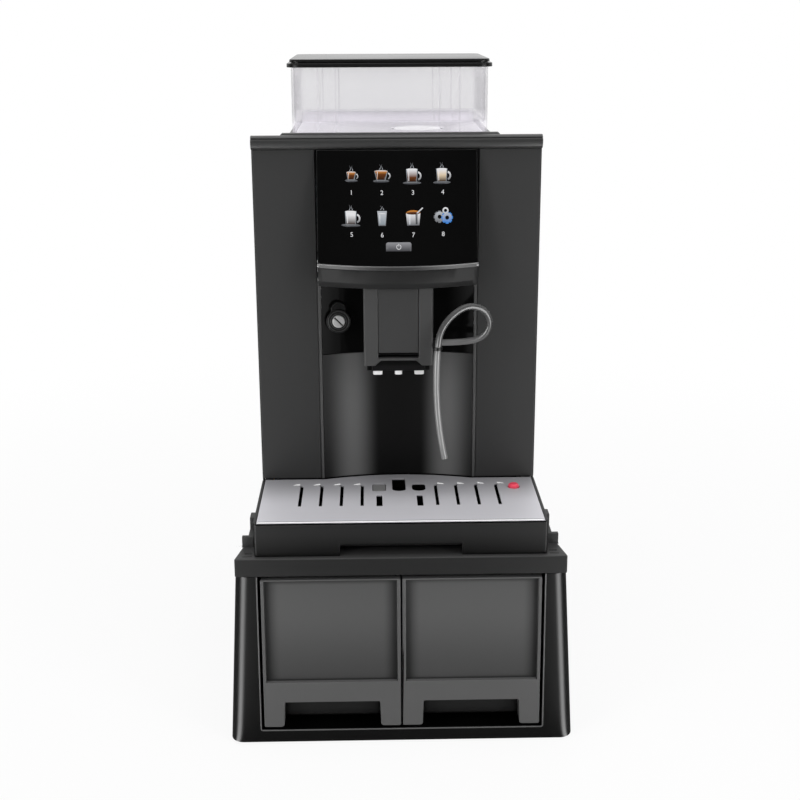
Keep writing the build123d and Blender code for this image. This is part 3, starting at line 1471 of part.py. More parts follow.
# Electrical parts
board_x = inner_half - frame_wall - board_standoff
board_y0 = front + board_back
supply_y = front + supply_back
fan_z = pan_top + fan_height
socket_z = pan_top + socket_height
rocker_y = back - rocker_setback


def make_control_board():
    """Control board on standoffs, with its larger components."""
    z0 = pan_top + board_bottom
    board = block(board_x - board_wall, board_x, board_y0, board_y0 + board_length, z0, z0 + board_height)
    for y, z, dy, dz, high in chip_places:
        board += block(board_x - board_wall - high, board_x - board_wall, board_y0 + y, board_y0 + y + dy,
                       z0 + z, z0 + z + dz)
    for y in (standoff_inset, board_length - standoff_inset):
        for z in (standoff_inset, board_height - standoff_inset):
            board += along_x(standoff_radius, board_y0 + y, z0 + z, board_x, inner_half - frame_wall)
    return board


def make_power_supply():
    case = block(supply_x - supply_width / 2, supply_x + supply_width / 2, supply_y - supply_depth / 2,
                 supply_y + supply_depth / 2 - 30.0, pan_top, pan_top + supply_height)
    for row in range(5):
        y = supply_y - supply_depth / 2 + 8.0 + row * 9.0
        case -= block(supply_x - supply_width * 0.35, supply_x + supply_width * 0.35, y, y + 3.0,
                      pan_top + supply_height - 2.0, pan_top + supply_height + 1)
    return case


def make_fan_frame():
    """Square fan housing with three struts and the pin that carries the rotor."""
    y0 = rear_inner - fan_wall
    half = fan_size / 2
    frame = block(fan_x - half, fan_x + half, y0, rear_inner, fan_z - half, fan_z + half)
    frame -= along_y(fan_bore, fan_x, fan_z, y0 - 1, rear_inner + 1)
    for turn in (0, 120, 240):
        strut = Pos(fan_x, y0 + 1.5, fan_z) * Rot(0, turn, 0) * Pos(fan_bore / 2 + 1, 0, 0)
        frame += strut * Box(fan_bore, 3.0, 3.0)
    frame += along_y(fan_hub * 0.8, fan_x, fan_z, y0, y0 + 3.0)
    return frame + along_y(fan_pin, fan_x, fan_z, y0, rear_inner - 3.0)


def make_fan_rotor():
    """Fan hub with its blades, bored for the pin."""
    y0 = rear_inner - fan_wall + 4.0
    y1 = rear_inner - 2.0
    rotor = along_y(fan_hub, fan_x, fan_z, y0, y1)
    reach = fan_bore - fan_tip_gap
    for step in range(fan_blades):
        turn = Pos(fan_x, (y0 + y1) / 2, fan_z) * Rot(0, step * 360 / fan_blades, 0)
        blade = turn * Pos((reach + fan_hub) / 2 - 1, 0, 0) * Rot(35, 0, 0)
        rotor += blade * Box(reach - fan_hub, 1.4, fan_hub * 1.1)
    return rotor - along_y(fan_pin + running_gap, fan_x, fan_z, y0 - 1, y1 - 0.8)


def make_power_inlet():
    """Three-pin appliance inlet with a switch pocket beside it, in one moulding."""
    half = socket_cutout_height / 2 - cover_gap
    x0 = switch_x - switch_width / 2 - socket_wall
    x1 = inlet_x + socket_width / 2 + socket_wall
    inlet = block(x0, x1, back - socket_depth, back, socket_z - half, socket_z + half)
    inlet += block(x0 - socket_flange, x1 + socket_flange, back, back + socket_wall,
                   socket_z - half - socket_flange, socket_z + half + socket_flange)
    well = half - socket_wall
    inlet -= block(inlet_x - socket_width / 2, inlet_x + socket_width / 2, back - socket_depth + 3.0, back + 3,
                   socket_z - well, socket_z + well)
    inlet -= block(switch_x - switch_width / 2, switch_x + switch_width / 2, back - socket_depth + 3.0,
                   back + 3, socket_z - well, socket_z + well)
    for x, z in ((-7.0, -2.0), (0.0, 2.5), (7.0, -2.0)):
        inlet += block(inlet_x + x - 1.0, inlet_x + x + 1.0, back - socket_depth + 2.0, back - 1.0,
                       socket_z + z - 2.0, socket_z + z + 2.0)
    for side in (-1, 1):
        x = switch_x + side * switch_width / 2
        inlet += along_x(rocker_pin, rocker_y, socket_z, min(x, x - side * 1.2), max(x, x - side * 1.2))
    return inlet


def make_rocker():
    """Rocker that tips about a cross pin."""
    half = socket_cutout_height / 2 - cover_gap - socket_wall - 1.2
    x_half = switch_width / 2 - 0.3
    dish = 1.2
    rocker = prism_x([(back - 4.0, socket_z - half), (back + 2.0, socket_z - half), (back + 2.0 - dish, socket_z),
                      (back + 2.0, socket_z + half), (back - 4.0, socket_z + half),
                      (rocker_y - 3.0, socket_z)], switch_x - x_half, switch_x + x_half)
    return rocker - along_x(rocker_pin + running_gap, rocker_y, socket_z, switch_x - x_half - 1,
                            switch_x + x_half + 1)


PARTS = {
    "base_shell": make_base_shell,
    "base_feet": make_base_feet,
    "base_deck": make_base_deck,
    "left_drawer_face": lambda: make_drawer_face(-1),
    "left_drawer_bin": lambda: make_drawer_bin(-1),
    "right_drawer_face": lambda: make_drawer_face(1),
    "right_drawer_bin": lambda: make_drawer_bin(1),
    "machine_feet": make_machine_feet,
    "chassis": make_chassis,
    "equipment_shelf": make_shelf,
    "left_side_cover": lambda: make_side_cover(-1),
    "right_side_cover": lambda: make_side_cover(1),
    "rear_cover": make_rear_cover,
    "left_front_panel": lambda: make_front_panel(-1),
    "right_front_panel": lambda: make_front_panel(1),
    "top_cover": make_top_cover,
    "case_screws": make_case_screws,
    "head_housing": make_head_housing,
    "head_trim": lambda: trim_ring(0.05, trim_low, trim_high),
    "screen_glass": make_screen_glass,
    "display_panel": make_display,
    "recess_liner": make_recess_liner,
    "splash_back": make_splash_back,
    "edge_strips": make_edge_strips,
    "lock_boss": make_lock_boss,
    "lock_disc": make_lock_disc,
    "spout_guide": make_spout_guide,
    "spout_body": make_spout_body,
    "spout_cover": make_spout_cover,
    "nozzle_block": make_nozzle_block,
    "outlet_nozzles": make_nozzles,
    "hose_holder": make_hose_holder,
    "milk_hose": make_milk_hose,
    "drip_tray": make_drip_tray,
    "drip_plate": make_drip_plate,
    "tray_float": make_float,
    "bean_hopper": make_hopper,
    "hopper_lid": make_hopper_lid,
    "grinder_case": make_grinder_case,
    "upper_burr": make_upper_burr,
    "grinder_rotor": make_grinder_rotor,
    "grind_dial": make_grind_dial,
    "powder_duct": make_powder_duct,
    "brew_frame": make_brew_frame,
    "brew_cylinder": make_brew_cylinder,
    "brew_piston": make_brew_piston,
    "drive_spindle": make_drive_spindle,
    "brew_motor": make_brew_motor,
    "grounds_chute": make_grounds_chute,
    "water_tank": make_water_tank,
    "tank_lid": make_tank_lid,
    "boiler": make_boiler,
    "water_pump": make_pump,
    "water_pipes": make_water_pipes,
    "control_board": make_control_board,
    "power_supply": make_power_supply,
    "fan_frame": make_fan_frame,
    "fan_rotor": make_fan_rotor,
    "power_inlet": make_power_inlet,
    "switch_rocker": make_rocker,
}


def write_parts():
    """Builds each part and writes it as its own STEP file."""
    os.makedirs("parts", exist_ok=True)
    for name, make in PARTS.items():
        solid = make()
        export_step(solid, f"parts/{name}.step")


write_parts()
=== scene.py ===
import json
import logging
import math
from dataclasses import dataclass
from enum import Enum
from typing import Callable, Sequence

import bmesh
import bpy
from mathutils import Matrix, Vector
from mathutils.bvhtree import BVHTree

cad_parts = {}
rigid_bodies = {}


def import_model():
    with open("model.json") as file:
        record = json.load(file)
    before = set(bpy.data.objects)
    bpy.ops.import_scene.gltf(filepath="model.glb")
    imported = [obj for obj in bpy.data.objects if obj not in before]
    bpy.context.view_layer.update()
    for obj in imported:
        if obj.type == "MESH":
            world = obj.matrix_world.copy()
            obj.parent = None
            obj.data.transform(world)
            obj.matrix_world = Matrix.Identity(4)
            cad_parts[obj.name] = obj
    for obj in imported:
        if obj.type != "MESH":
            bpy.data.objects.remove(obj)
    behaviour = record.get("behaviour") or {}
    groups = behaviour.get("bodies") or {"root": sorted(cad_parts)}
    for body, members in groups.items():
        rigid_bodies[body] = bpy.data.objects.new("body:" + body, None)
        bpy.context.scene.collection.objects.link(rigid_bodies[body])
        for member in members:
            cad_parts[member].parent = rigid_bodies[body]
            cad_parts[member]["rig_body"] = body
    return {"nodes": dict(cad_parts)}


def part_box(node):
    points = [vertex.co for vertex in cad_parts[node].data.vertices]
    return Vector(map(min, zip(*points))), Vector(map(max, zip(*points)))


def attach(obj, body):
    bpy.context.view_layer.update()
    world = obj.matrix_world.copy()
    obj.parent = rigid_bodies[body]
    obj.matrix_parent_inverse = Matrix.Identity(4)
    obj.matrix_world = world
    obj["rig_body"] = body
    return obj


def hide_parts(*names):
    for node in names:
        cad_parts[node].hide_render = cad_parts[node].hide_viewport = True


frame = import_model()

log = logging.getLogger("espresso")
MM = 0.001
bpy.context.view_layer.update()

Shape = bmesh.types.BMesh
Vert = bmesh.types.BMVert
Piece = bpy.types.Object
Socket = bpy.types.NodeSocket
Colour = tuple[float, float, float, float]
Point = tuple[float, float, float]
Flat = tuple[float, float]

ORIGIN: Point = (0.0, 0.0, 0.0)
SIDES = {"left": -1.0, "right": 1.0}
SHARP = math.radians(32.0)  # edges sharper than this are eased
CLOSE = 1e-4  # points nearer to each other than this, in millimetres, are one


def metres(*sizes: float) -> Vector:
    """Millimetres, as a vector in metres."""
    return Vector(sizes) * MM


def paint(red: float, green: float, blue: float) -> Colour:
    """A colour as it looks on a screen, 0 to 255, in the linear values that shaders take.

    Args:
        red: Red share.
        green: Green share.
        blue: Blue share.

    Returns:
        The linear colour, with an alpha of 1.
    """
    def linear(value: float) -> float:
        """The linear value of one channel."""
        share = value / 255.0
        return share / 12.92 if share <= 0.04045 else ((share + 0.055) / 1.055) ** 2.4
    return (linear(red), linear(green), linear(blue), 1.0)


def grey(value: float) -> Colour:
    """A neutral colour of that screen value."""
    return paint(value, value, value)


def grey_share(share: float) -> Colour:
    """A neutral factor for a colour."""
    return (share, share, share, 1.0)


def scaled(colour: Colour, share: float) -> Colour:
    """The colour, made darker or lighter by a share."""
    return tuple(min(1.0, part * share) for part in colour[:3]) + (1.0,)


def between(value: float, limits: Flat) -> bool:
    """Whether a number lies between two limits."""
    return limits[0] < value < limits[1]


class Value:
    """A shader socket that takes arithmetic, so that shader maths reads as an expression."""

    def __init__(self, graph: "Graph", socket: Socket) -> None:
        """Keeps the socket and the graph that it belongs to."""
        self.graph = graph
        self.socket = socket

    def _maths(self, operation: str, *others: "Value | float", first: bool = True) -> "Value":
        """Adds a Math node.

        Args:
            operation: The node's operation.
            others: The other operands.
            first: Whether this value is the first operand.

        Returns:
            The node's result.
        """
        operands = (self, *others) if first else (*others, self)
        node = self.graph.node("ShaderNodeMath", {"operation": operation}, dict(enumerate(operands)))
        return Value(self.graph, node.outputs[0])

    def __add__(self, other: "Value | float") -> "Value":
        """This value plus another."""
        return self._maths("ADD", other)

    __radd__ = __add__

    def __sub__(self, other: "Value | float") -> "Value":
        """This value less another."""
        return self._maths("SUBTRACT", other)

    def __rsub__(self, other: "Value | float") -> "Value":
        """Another value less this one."""
        return self._maths("SUBTRACT", other, first=False)

    def __mul__(self, other: "Value | float") -> "Value":
        """This value times another."""
        return self._maths("MULTIPLY", other)

    __rmul__ = __mul__

    def __truediv__(self, other: "Value | float") -> "Value":
        """This value over another."""
        return self._maths("DIVIDE", other)

    def __pow__(self, other: float) -> "Value":
        """This value to a power."""
        return self._maths("POWER", other)

    def __abs__(self) -> "Value":
        """This value without its sign."""
        return self._maths("ABSOLUTE")

    def above(self, limit: float) -> "Value":
        """One where this value is above a limit, and zero elsewhere."""
        return self._maths("GREATER_THAN", limit)

    def within(self, low: float, high: float) -> "Value":
        """One where this value is between two limits, and zero elsewhere."""
        return self.above(low) * (1.0 - self.above(high))

    def ramp(self, low: float, high: float) -> "Value":
        """A smooth step from 0 at the low value to 1 at the high one."""
        node = self.graph.node("ShaderNodeMapRange", {"interpolation_type": "SMOOTHSTEP"},
                               {"Value": self, "From Min": low, "From Max": high})
        return Value(self.graph, node.outputs["Result"])


class Graph:
    """A node tree that is filled by one node-making method."""

    def __init__(self, tree: bpy.types.NodeTree) -> None:
        """Empties the tree and keeps it."""
        self.tree = tree
        self.made: bpy.types.Material | None = None
        tree.nodes.clear()

    @classmethod
    def of_material(cls, name: str) -> "Graph":
        """The graph of a new material.

        Args:
            name: The material's name.

        Returns:
            Its graph, with the material kept on it.
        """
        made = bpy.data.materials.new(name)
        made.use_nodes = True
        graph = cls(made.node_tree)
        graph.made = made
        return graph

    def node(self, kind: str, settings: dict | None = None, inputs: dict | None = None) -> bpy.types.Node:
        """Adds a node, its settings first and its sockets after.

        Args:
            kind: The node's type.
            settings: Its settings.
            inputs: Values or links of its sockets, by name or place.

        Returns:
            The node.
        """
        node = self.tree.nodes.new(kind)
        for key, setting in (settings or {}).items():
            setattr(node, key, setting)
        for key, given in (inputs or {}).items():
            if isinstance(given, Value):
                given = given.socket
            if isinstance(given, Socket):
                self.tree.links.new(given, node.inputs[key])
            else:
                node.inputs[key].default_value = given
        return node

    def place(self, stretch: Point | None = None, turn: Point = ORIGIN) -> Socket:
        """Object coordinates, stretched and turned.

        Args:
            stretch: How far each axis is stretched, or None for the plain coordinates.
            turn: Turn about each axis, in radians.

        Returns:
            The vector socket.
        """
        source = self.node("ShaderNodeTexCoord").outputs["Object"]
        if stretch is None:
            return source
        return self.node("ShaderNodeMapping", None,
                         {"Vector": source, "Scale": stretch, "Rotation": turn}).outputs["Vector"]

    def axes(self) -> tuple[Value, Value, Value]:
        """The three object coordinates, in millimetres."""
        parts = self.node("ShaderNodeSeparateXYZ", None, {"Vector": self.place()}).outputs
        return tuple(Value(self, part) * 1000.0 for part in parts)

    def noise(self, scale: float, detail: float = 2.0, vector: Socket | None = None,
              rough: float = 0.5) -> Value:
        """Noise between 0 and 1 on object coordinates.

        Args:
            scale: Cells in a metre.
            detail: How many finer layers it has.
            vector: Other coordinates to read.
            rough: How strong the finer layers are.

        Returns:
            The noise's value.
        """
        node = self.node("ShaderNodeTexNoise", None, {"Vector": vector or self.place(), "Scale": scale,
                                                      "Detail": detail, "Roughness": rough})
        return Value(self, node.outputs[0])

    def blend(self, share: Value | float, first: Colour | Socket, second: Colour | Socket,
              mode: str = "MIX") -> Socket:
        """A colour between two colours.

        Args:
            share: How much of the second.
            first: The first colour.
            second: The second colour.
            mode: How the two are mixed.

        Returns:
            The colour socket.
        """
        node = self.node("ShaderNodeMix", {"data_type": "RGBA", "blend_type": mode, "clamp_factor": True},
                         {0: share, 6: first, 7: second})
        return node.outputs[2]

    def varied(self, share: Value, tone: Colour, first: float, second: float) -> Socket:
        """A tone, times the first factor where the share is 0 and the second where it is 1."""
        return self.blend(share, scaled(tone, first), scaled(tone, second))

    def bump(self, height: Value, depth: float) -> Socket:
        """A normal bumped by a height from 0 to 1, where 1 stands for a depth in millimetres."""
        return self.node("ShaderNodeBump", None, {"Height": height, "Distance": depth * MM}).outputs["Normal"]

    def finish(self, shader: bpy.types.Node) -> bpy.types.Material:
        """Joins a shader to the material's output and returns the material."""
        self.node("ShaderNodeOutputMaterial", None, {"Surface": shader.outputs[0]})
        return self.made


@dataclass(frozen=True)
class PaintedShadeRamp:
    """Painted shade: loss of colour towards one place along an axis.

    Attributes:
        loss: Share of the colour that is lost.
        lost: Where all of that is lost, in millimetres.
        kept: Where nothing is lost.
        axis: The axis, from 0 to 2.
    """

    loss: float
    lost: float
    kept: float
    axis: int = 2

    def share(self, graph: Graph) -> Value:
        """How much of the loss is left out at a place."""
        along = graph.axes()[self.axis]
        if self.lost < self.kept:
            return along.ramp(self.lost, self.kept)
        return 1.0 - along.ramp(self.kept, self.lost)


@dataclass(frozen=True)
class PaintedRecessShade:
    """Painted shade: loss of colour over a sunk panel, as much as its rim would shade it.

    Attributes:
        loss: Share of the colour that is lost at the rim.
        base: Share of that loss that its whole floor has.
        across: The panel's nearer and farther edge from the middle plane, in millimetres.
        height: Its low and high edge.
        width: How far the shade reaches in from each side, the foot and the head.
    """

    loss: float
    base: float
    across: Flat
    height: Flat
    width: Point

    def share(self, graph: Graph) -> Value:
        """How much of the loss is left out at a place."""
        x, _, z = graph.axes()
        x = abs(x)
        (near, far), (low, high), (side, foot, head) = self.across, self.height, self.width
        inside = x.within(near, far) * z.within(low, high)
        clear = (x.ramp(near, near + side) * (1.0 - x.ramp(far - side, far))
                 * z.ramp(low, low + foot) * (1.0 - z.ramp(high - head, high)))
        return 1.0 - inside * (1.0 - clear * (1.0 - self.base))


def with_painted_shades(graph: Graph, colour: Socket, painted_shades: Sequence[PaintedShadeRamp | PaintedRecessShade]) -> Socket:
    """A colour with painted shade laid over it.

    Args:
        graph: The graph.
        colour: The colour socket.
        painted_shades: The painted shade ramps and recess shade.

    Returns:
        The colour socket.
    """
    for shade in painted_shades:
        # painted shade: each ramp darkens the colour where its share is low
        dark = graph.blend(1.0, colour, grey_share(1.0 - shade.loss), "MULTIPLY")
        colour = graph.blend(shade.share(graph), dark, colour)
    return colour


class Direction(Enum):
    """The way that a brushed or drawn surface runs, as a stretch of its noise."""

    ALONG_X = (6.0, 700.0, 700.0)
    ALONG_Z = (700.0, 700.0, 6.0)
    CAST = (260.0, 260.0, 260.0)


@dataclass(frozen=True)
class Finish:
    """A finish of a piece, made a material when it is first asked for.

    Attributes:
        name: The material's name.
    """

    name: str

    def inputs(self, graph: Graph) -> dict:
        """Values and links of the surface shader's sockets, as each kind of finish has them."""
        raise NotImplementedError

    def material(self) -> bpy.types.Material:
        """The finish as a material, built once."""
        known = bpy.data.materials.get(self.name)
        if known:
            return known
        graph = Graph.of_material(self.name)
        return graph.finish(graph.node("ShaderNodeBsdfPrincipled", None, self.inputs(graph)))


@dataclass(frozen=True)
class Plastic(Finish):
    """Moulded plastic or rubber with a fine grain, faint cloudiness and a little handling sheen.

    Attributes:
        tone: Its colour.
        roughness: How dull it is.
        specular: Strength of its reflection.
        grain: Size of a grain, in millimetres.
        relief: Depth of the grain, in millimetres.
        cloud: Share by which its colour varies.
        painted_shades: Painted shade laid over its colour.
        glow: Strength of a painted glow: emission that stands in for the light that pale plastic passes on
            from behind.
    """

    tone: Colour
    roughness: float = 0.45
    specular: float = 0.3
    grain: float = 0.9
    relief: float = 0.012
    cloud: float = 0.06
    painted_shades: tuple[PaintedShadeRamp | PaintedRecessShade, ...] = ()
    glow: float = 0.0

    def inputs(self, graph: Graph) -> dict:
        """Colour in broad clouds under its painted shade, with a grain that also roughens and dents it, and
        its painted glow.
        """
        broad = graph.noise(7.0, 3.0)
        fine = graph.noise(1000.0 / self.grain, 2.0, rough=0.6)
        colour = graph.varied(broad * 0.7 + fine * 0.3, self.tone, 1.0 - self.cloud, 1.0 + self.cloud)
        return {"Base Color": with_painted_shades(graph, colour, self.painted_shades),
                "Roughness": broad * 0.08 + fine * 0.05 + (self.roughness - 0.065),
                "Specular IOR Level": self.specular, "Emission Color": self.tone,
                "Emission Strength": self.glow, "Normal": graph.bump(fine, self.relief)}


@dataclass(frozen=True)
class Satin(Finish):
    """Satin black plastic of a hollow wall, with a painted sheen down each side: a lighter colour that stands
    in for the reflection its curve gathers.

    Attributes:
        tone: Its colour in the middle.
        sheen: Its colour in the painted sheen.
        middle: Place across of the wall's middle, in millimetres.
        rise: Distances from the middle between which the painted sheen grows.
        fall: Distances from the middle between which it goes again.
        roughness: How dull it is.
    """

    tone: Colour
    sheen: Colour
    middle: float = 2.0
    rise: Flat = (22.0, 50.0)
    fall: Flat = (52.0, 82.0)
    roughness: float = 0.42

    def inputs(self, graph: Graph) -> dict:
        """Painted sheen in the colour by the distance from the middle, with fine upright lines in its
        roughness.
        """
        side = abs(graph.axes()[0] - self.middle)
        # painted sheen: a lighter colour band down each side of the middle
        share = side.ramp(*self.rise) * (1.0 - side.ramp(*self.fall) * 0.92)
        fine = graph.noise(1300.0, 2.0, rough=0.6)
        drawn = graph.noise(1.0, 2.0, graph.place((900.0, 900.0, 12.0)))
        return {"Base Color": graph.blend(share + (fine - 0.5) * 0.03, scaled(self.tone, 0.97), self.sheen),
                "Roughness": drawn * 0.08 + fine * 0.04 + (self.roughness - 0.06),
                "Specular IOR Level": 0.12, "Normal": graph.bump(fine, 0.004)}


@dataclass(frozen=True)
class Gloss(Finish):
    """Polished black plastic or glass with faint wiping marks.

    Attributes:
        tone: Its colour.
        roughness: How dull it is.
        specular: Strength of its reflection.
    """

    tone: Colour
    roughness: float = 0.06
    specular: float = 0.1

    def inputs(self, graph: Graph) -> dict:
        """Dark colour with a little dust, duller where it was wiped."""
        wiped = graph.noise(14.0, 4.0, graph.place((1.0, 1.0, 0.35), (0.0, 0.6, 0.0)))
        dust = graph.noise(2200.0, 1.0).ramp(0.72, 0.80)
        return {"Base Color": graph.varied(dust * 0.25 + wiped * 0.2, self.tone, 1.0, 2.2),
                "Roughness": wiped.ramp(0.45, 0.75) * 0.06 + self.roughness,
                "Specular IOR Level": self.specular}


@dataclass(frozen=True)
class Metal(Finish):
    """Brushed, drawn or cast metal.

    Attributes:
        tone: Its colour.
        roughness: How dull it is.
        run: The way that its lines run.
        relief: Depth of its lines, in millimetres.
        metallic: Share of metal in its look.
        streak: Share by which the lines change its colour.
        painted_shades: Painted shade laid over its colour.
    """

    tone: Colour
    roughness: float = 0.32
    run: Direction = Direction.ALONG_X
    relief: float = 0.006
    metallic: float = 1.0
    streak: float = 0.08
    painted_shades: tuple[PaintedShadeRamp | PaintedRecessShade, ...] = ()

    def inputs(self, graph: Graph) -> dict:
        """Lines in its colour, roughness and relief, over faint stains, with its painted shade laid over."""
        lines = graph.noise(1.0, 3.0, graph.place(self.run.value), 0.7)
        stain = graph.noise(11.0, 3.0)
        colour = graph.varied(lines * 0.8 + stain * 0.2, self.tone, 1.0 - self.streak, 1.0 + self.streak)
        return {"Base Color": with_painted_shades(graph, colour, self.painted_shades), "Metallic": self.metallic,
                "Roughness": lines * 0.12 + stain * 0.08 + (self.roughness - 0.1),
                "Normal": graph.bump(lines, self.relief)}


@dataclass(frozen=True)
class ClearPlastic(Finish):
    """Clear plastic, a little milky, denser where it is seen along the wall.

    Attributes:
        tone: Its colour.
        alpha: How much of what is behind one wall it hides.
        edge: How much more it hides at its edges.
        roughness: How dull it is.
        funnel: The space of its thin inner floor: ends across, ends along Y and top, in millimetres; its low
            part glows with painted light.
        lines: Places across of its faint upright ribs, in millimetres.
    """

    tone: Colour
    alpha: float = 0.12
    edge: float = 0.35
    roughness: float = 0.12
    funnel: tuple[Flat, Flat, float] | None = None
    lines: tuple[float, ...] = ()

    def inputs(self, graph: Graph) -> dict:
        """Cover that grows at the edges, and a thin floor with a painted glow where a funnel is given."""
        facing = Value(graph, graph.node("ShaderNodeLayerWeight", None, {"Blend": 0.25}).outputs["Facing"])
        haze = graph.noise(18.0, 3.0)
        cover = facing * self.edge + haze * 0.04 + (self.alpha - 0.02)
        across, back, height = graph.axes()
        inputs = {"Base Color": graph.varied(haze, self.tone, 0.95, 1.04),
                  "Roughness": haze * 0.06 + self.roughness, "Specular IOR Level": 0.35}
        if self.funnel:
            (left, right), (front, rear), top = self.funnel
            inner = across.within(left, right) * back.within(front, rear)
            low = 1.0 - height.ramp(top - 8.0, top + 4.0)
            cover = cover * (1.0 - inner * low * 0.8) + back.above(rear) * low * 0.75
            # painted light: the hopper's low part glows, standing in for light passed through the milky
            # plastic
            inputs |= {"Emission Color": graph.blend(low, grey(0), self.tone), "Emission Strength": 0.5}
        for place in self.lines:
            cover = cover + (1.0 - abs(across - place).ramp(0.5, 1.6)) * 0.07
        return {**inputs, "Alpha": cover}


@dataclass(frozen=True)
class Picture(Finish):
    """The lit pictures on the display, coloured by their own attribute.

    Attributes:
        glow: Strength of their light.
        attribute: The colour attribute that they read.
    """

    glow: float = 0.75
    attribute: str = "tone"

    def inputs(self, graph: Graph) -> dict:
        """The attribute's colour as light, a little uneven, over a dark base."""
        colour = graph.node("ShaderNodeVertexColor", {"layer_name": self.attribute}).outputs["Color"]
        rows = graph.noise(900.0, 1.0)
        dimmed = graph.blend(rows, graph.blend(1.0, colour, grey_share(0.9), "MULTIPLY"), colour)
        return {"Base Color": graph.blend(0.85, dimmed, grey(8)), "Roughness": rows * 0.05 + 0.12,
                "Specular IOR Level": 0.1, "Emission Color": dimmed, "Emission Strength": self.glow}


RUBBER = Plastic("black rubber", grey(14), roughness=0.75, specular=0.15, grain=1.6, relief=0.03)


def made_object(name: str, data: bpy.types.ID) -> Piece:
    """A new object in the scene that shows a mesh, a curve, a lamp or a camera."""
    piece = bpy.data.objects.new(name, data)
    bpy.context.scene.collection.objects.link(piece)
    return piece


def held(name: str, points: Sequence[Vector], edges: Sequence[tuple[int, int]] = ()) -> Piece:
    """An object that holds bare points, in metres, and the edges between them."""
    mesh = bpy.data.meshes.new(name)
    mesh.from_pydata([tuple(point) for point in points], edges, [])
    return made_object(name, mesh)


def from_shape(name: str, shape: Shape, smooth: float = 35.0) -> Piece:
    """A new object from a bmesh, smooth up to an angle.

    Args:
        name: The object's name.
        shape: The bmesh, which is freed.
        smooth: Edges sharper than this angle stay sharp, in degrees.

    Returns:
        The object.
    """
    mesh = bpy.data.meshes.new(name)
    shape.to_mesh(mesh)
    shape.free()
    mesh.shade_smooth()
    mesh.set_sharp_from_angle(angle=math.radians(smooth))
    return made_object(name, mesh)


def settled(piece: Piece) -> Piece:
    """The object with its modifiers turned into plain mesh."""
    depsgraph = bpy.context.evaluated_depsgraph_get()
    mesh = bpy.data.meshes.new_from_object(piece.evaluated_get(depsgraph), preserve_all_data_layers=True,
                                           depsgraph=depsgraph)
    piece.modifiers.clear()
    piece.data = mesh
    return piece


def worked(piece: Piece, kind: str, **settings: object) -> Piece:
    """The object after one modifier.

    Args:
        piece: The object.
        kind: The modifier's type.
        settings: The modifier's settings.

    Returns:
        The object as plain mesh.
    """
    modifier = piece.modifiers.new(kind.lower(), kind)
    for key, setting in settings.items():
        setattr(modifier, key, setting)
    return settled(piece)


def merged_copy(node: str) -> Shape:
    """A copy of a CAD node's mesh with its points joined and its flat faces made whole."""
    shape = bmesh.new()
    shape.from_mesh(frame["nodes"][node].data)
    bmesh.ops.remove_doubles(shape, verts=shape.verts, dist=2e-6)
    bmesh.ops.dissolve_limit(shape, angle_limit=math.radians(0.6), verts=shape.verts, edges=shape.edges)
    return shape


def rounded(shape: Shape, axis: int, chosen: Callable[[float, float, float], bool], radius: float,
            segments: int = 4) -> None:
    """Rounds the edges that run along an axis at chosen places.

    Args:
        shape: The mesh.
        axis: The axis that they run along, from 0 to 2.
        chosen: Says of a point, in millimetres, whether its edge is one of them.
        radius: The radius, in millimetres.
        segments: Steps round a corner.
    """
    edges = [edge for edge in shape.edges
             if all(chosen(*(vert.co / MM)) for vert in edge.verts)
             and abs((edge.verts[0].co - edge.verts[1].co).normalized()[axis]) > 0.9]
    bmesh.ops.bevel(shape, geom=edges, offset=radius * MM, offset_type="OFFSET", segments=segments,
                    profile=0.5, affect="EDGES")
    log.debug("%d edges rounded", len(edges))


def dressed(piece: Piece, finish: Finish, body: str, slot: str,
            nodes: Sequence[str] = ()) -> Piece:
    """Gives a piece its finish and its body, and hides the nodes that it stands for.

    Args:
        piece: The piece.
        finish: Its finish.
        body: The body that it rides on.
        slot: The record's material slot; not used.
        nodes: CAD nodes that it replaces.

    Returns:
        The piece.
    """
    piece.data.materials.clear()
    piece.data.materials.append(finish.material())
    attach(piece, body)
    if nodes:
        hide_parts(*nodes)
    log.info("%s rides on %s in %s", piece.name, body, finish.name)
    return piece


def eased(node: str, finish: Finish, slot: str, width: float = 0.5, segments: int = 2,
          reshape: Callable[[Shape], None] | None = None) -> None:
    """Replaces a CAD node by its own shape with its sharp edges eased, as moulding and bending leave them.

    Args:
        node: The CAD node.
        finish: Its finish.
        slot: The record's material slot.
        width: Width of the eased edge, in millimetres.
        segments: Steps over the edge.
        reshape: A change to the shape that comes first.
    """
    shape = merged_copy(node)
    if reshape:
        reshape(shape)
    piece = worked(from_shape(node + ".eased", shape), "BEVEL", width=width * MM, segments=segments,
                   limit_method="ANGLE", angle_limit=SHARP, use_clamp_overlap=False, harden_normals=True)
    dressed(piece, finish, frame["nodes"][node]["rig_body"], slot, [node])


def coated(node: str, finish: Finish) -> None:
    """Gives a CAD node that stays its finish."""
    for place in frame["nodes"][node].material_slots:
        place.material = finish.material()
    log.info("%s stays, in %s", node, finish.name)


def islands(node: str) -> list[tuple[Vector, Vector]]:
    """The lowest and highest corner of each separate solid of a CAD node, in metres."""
    shape = merged_copy(node)
    left, boxes = set(shape.verts), []
    while left:
        wave, found = [left.pop()], []
        while wave:
            vert = wave.pop()
            found.append(vert.co.copy())
            beside = {edge.other_vert(vert) for edge in vert.link_edges} & left
            left -= beside
            wave += beside
        boxes.append(tuple(Vector(pick(co[i] for co in found) for i in range(3)) for pick in (min, max)))
    shape.free()
    return boxes


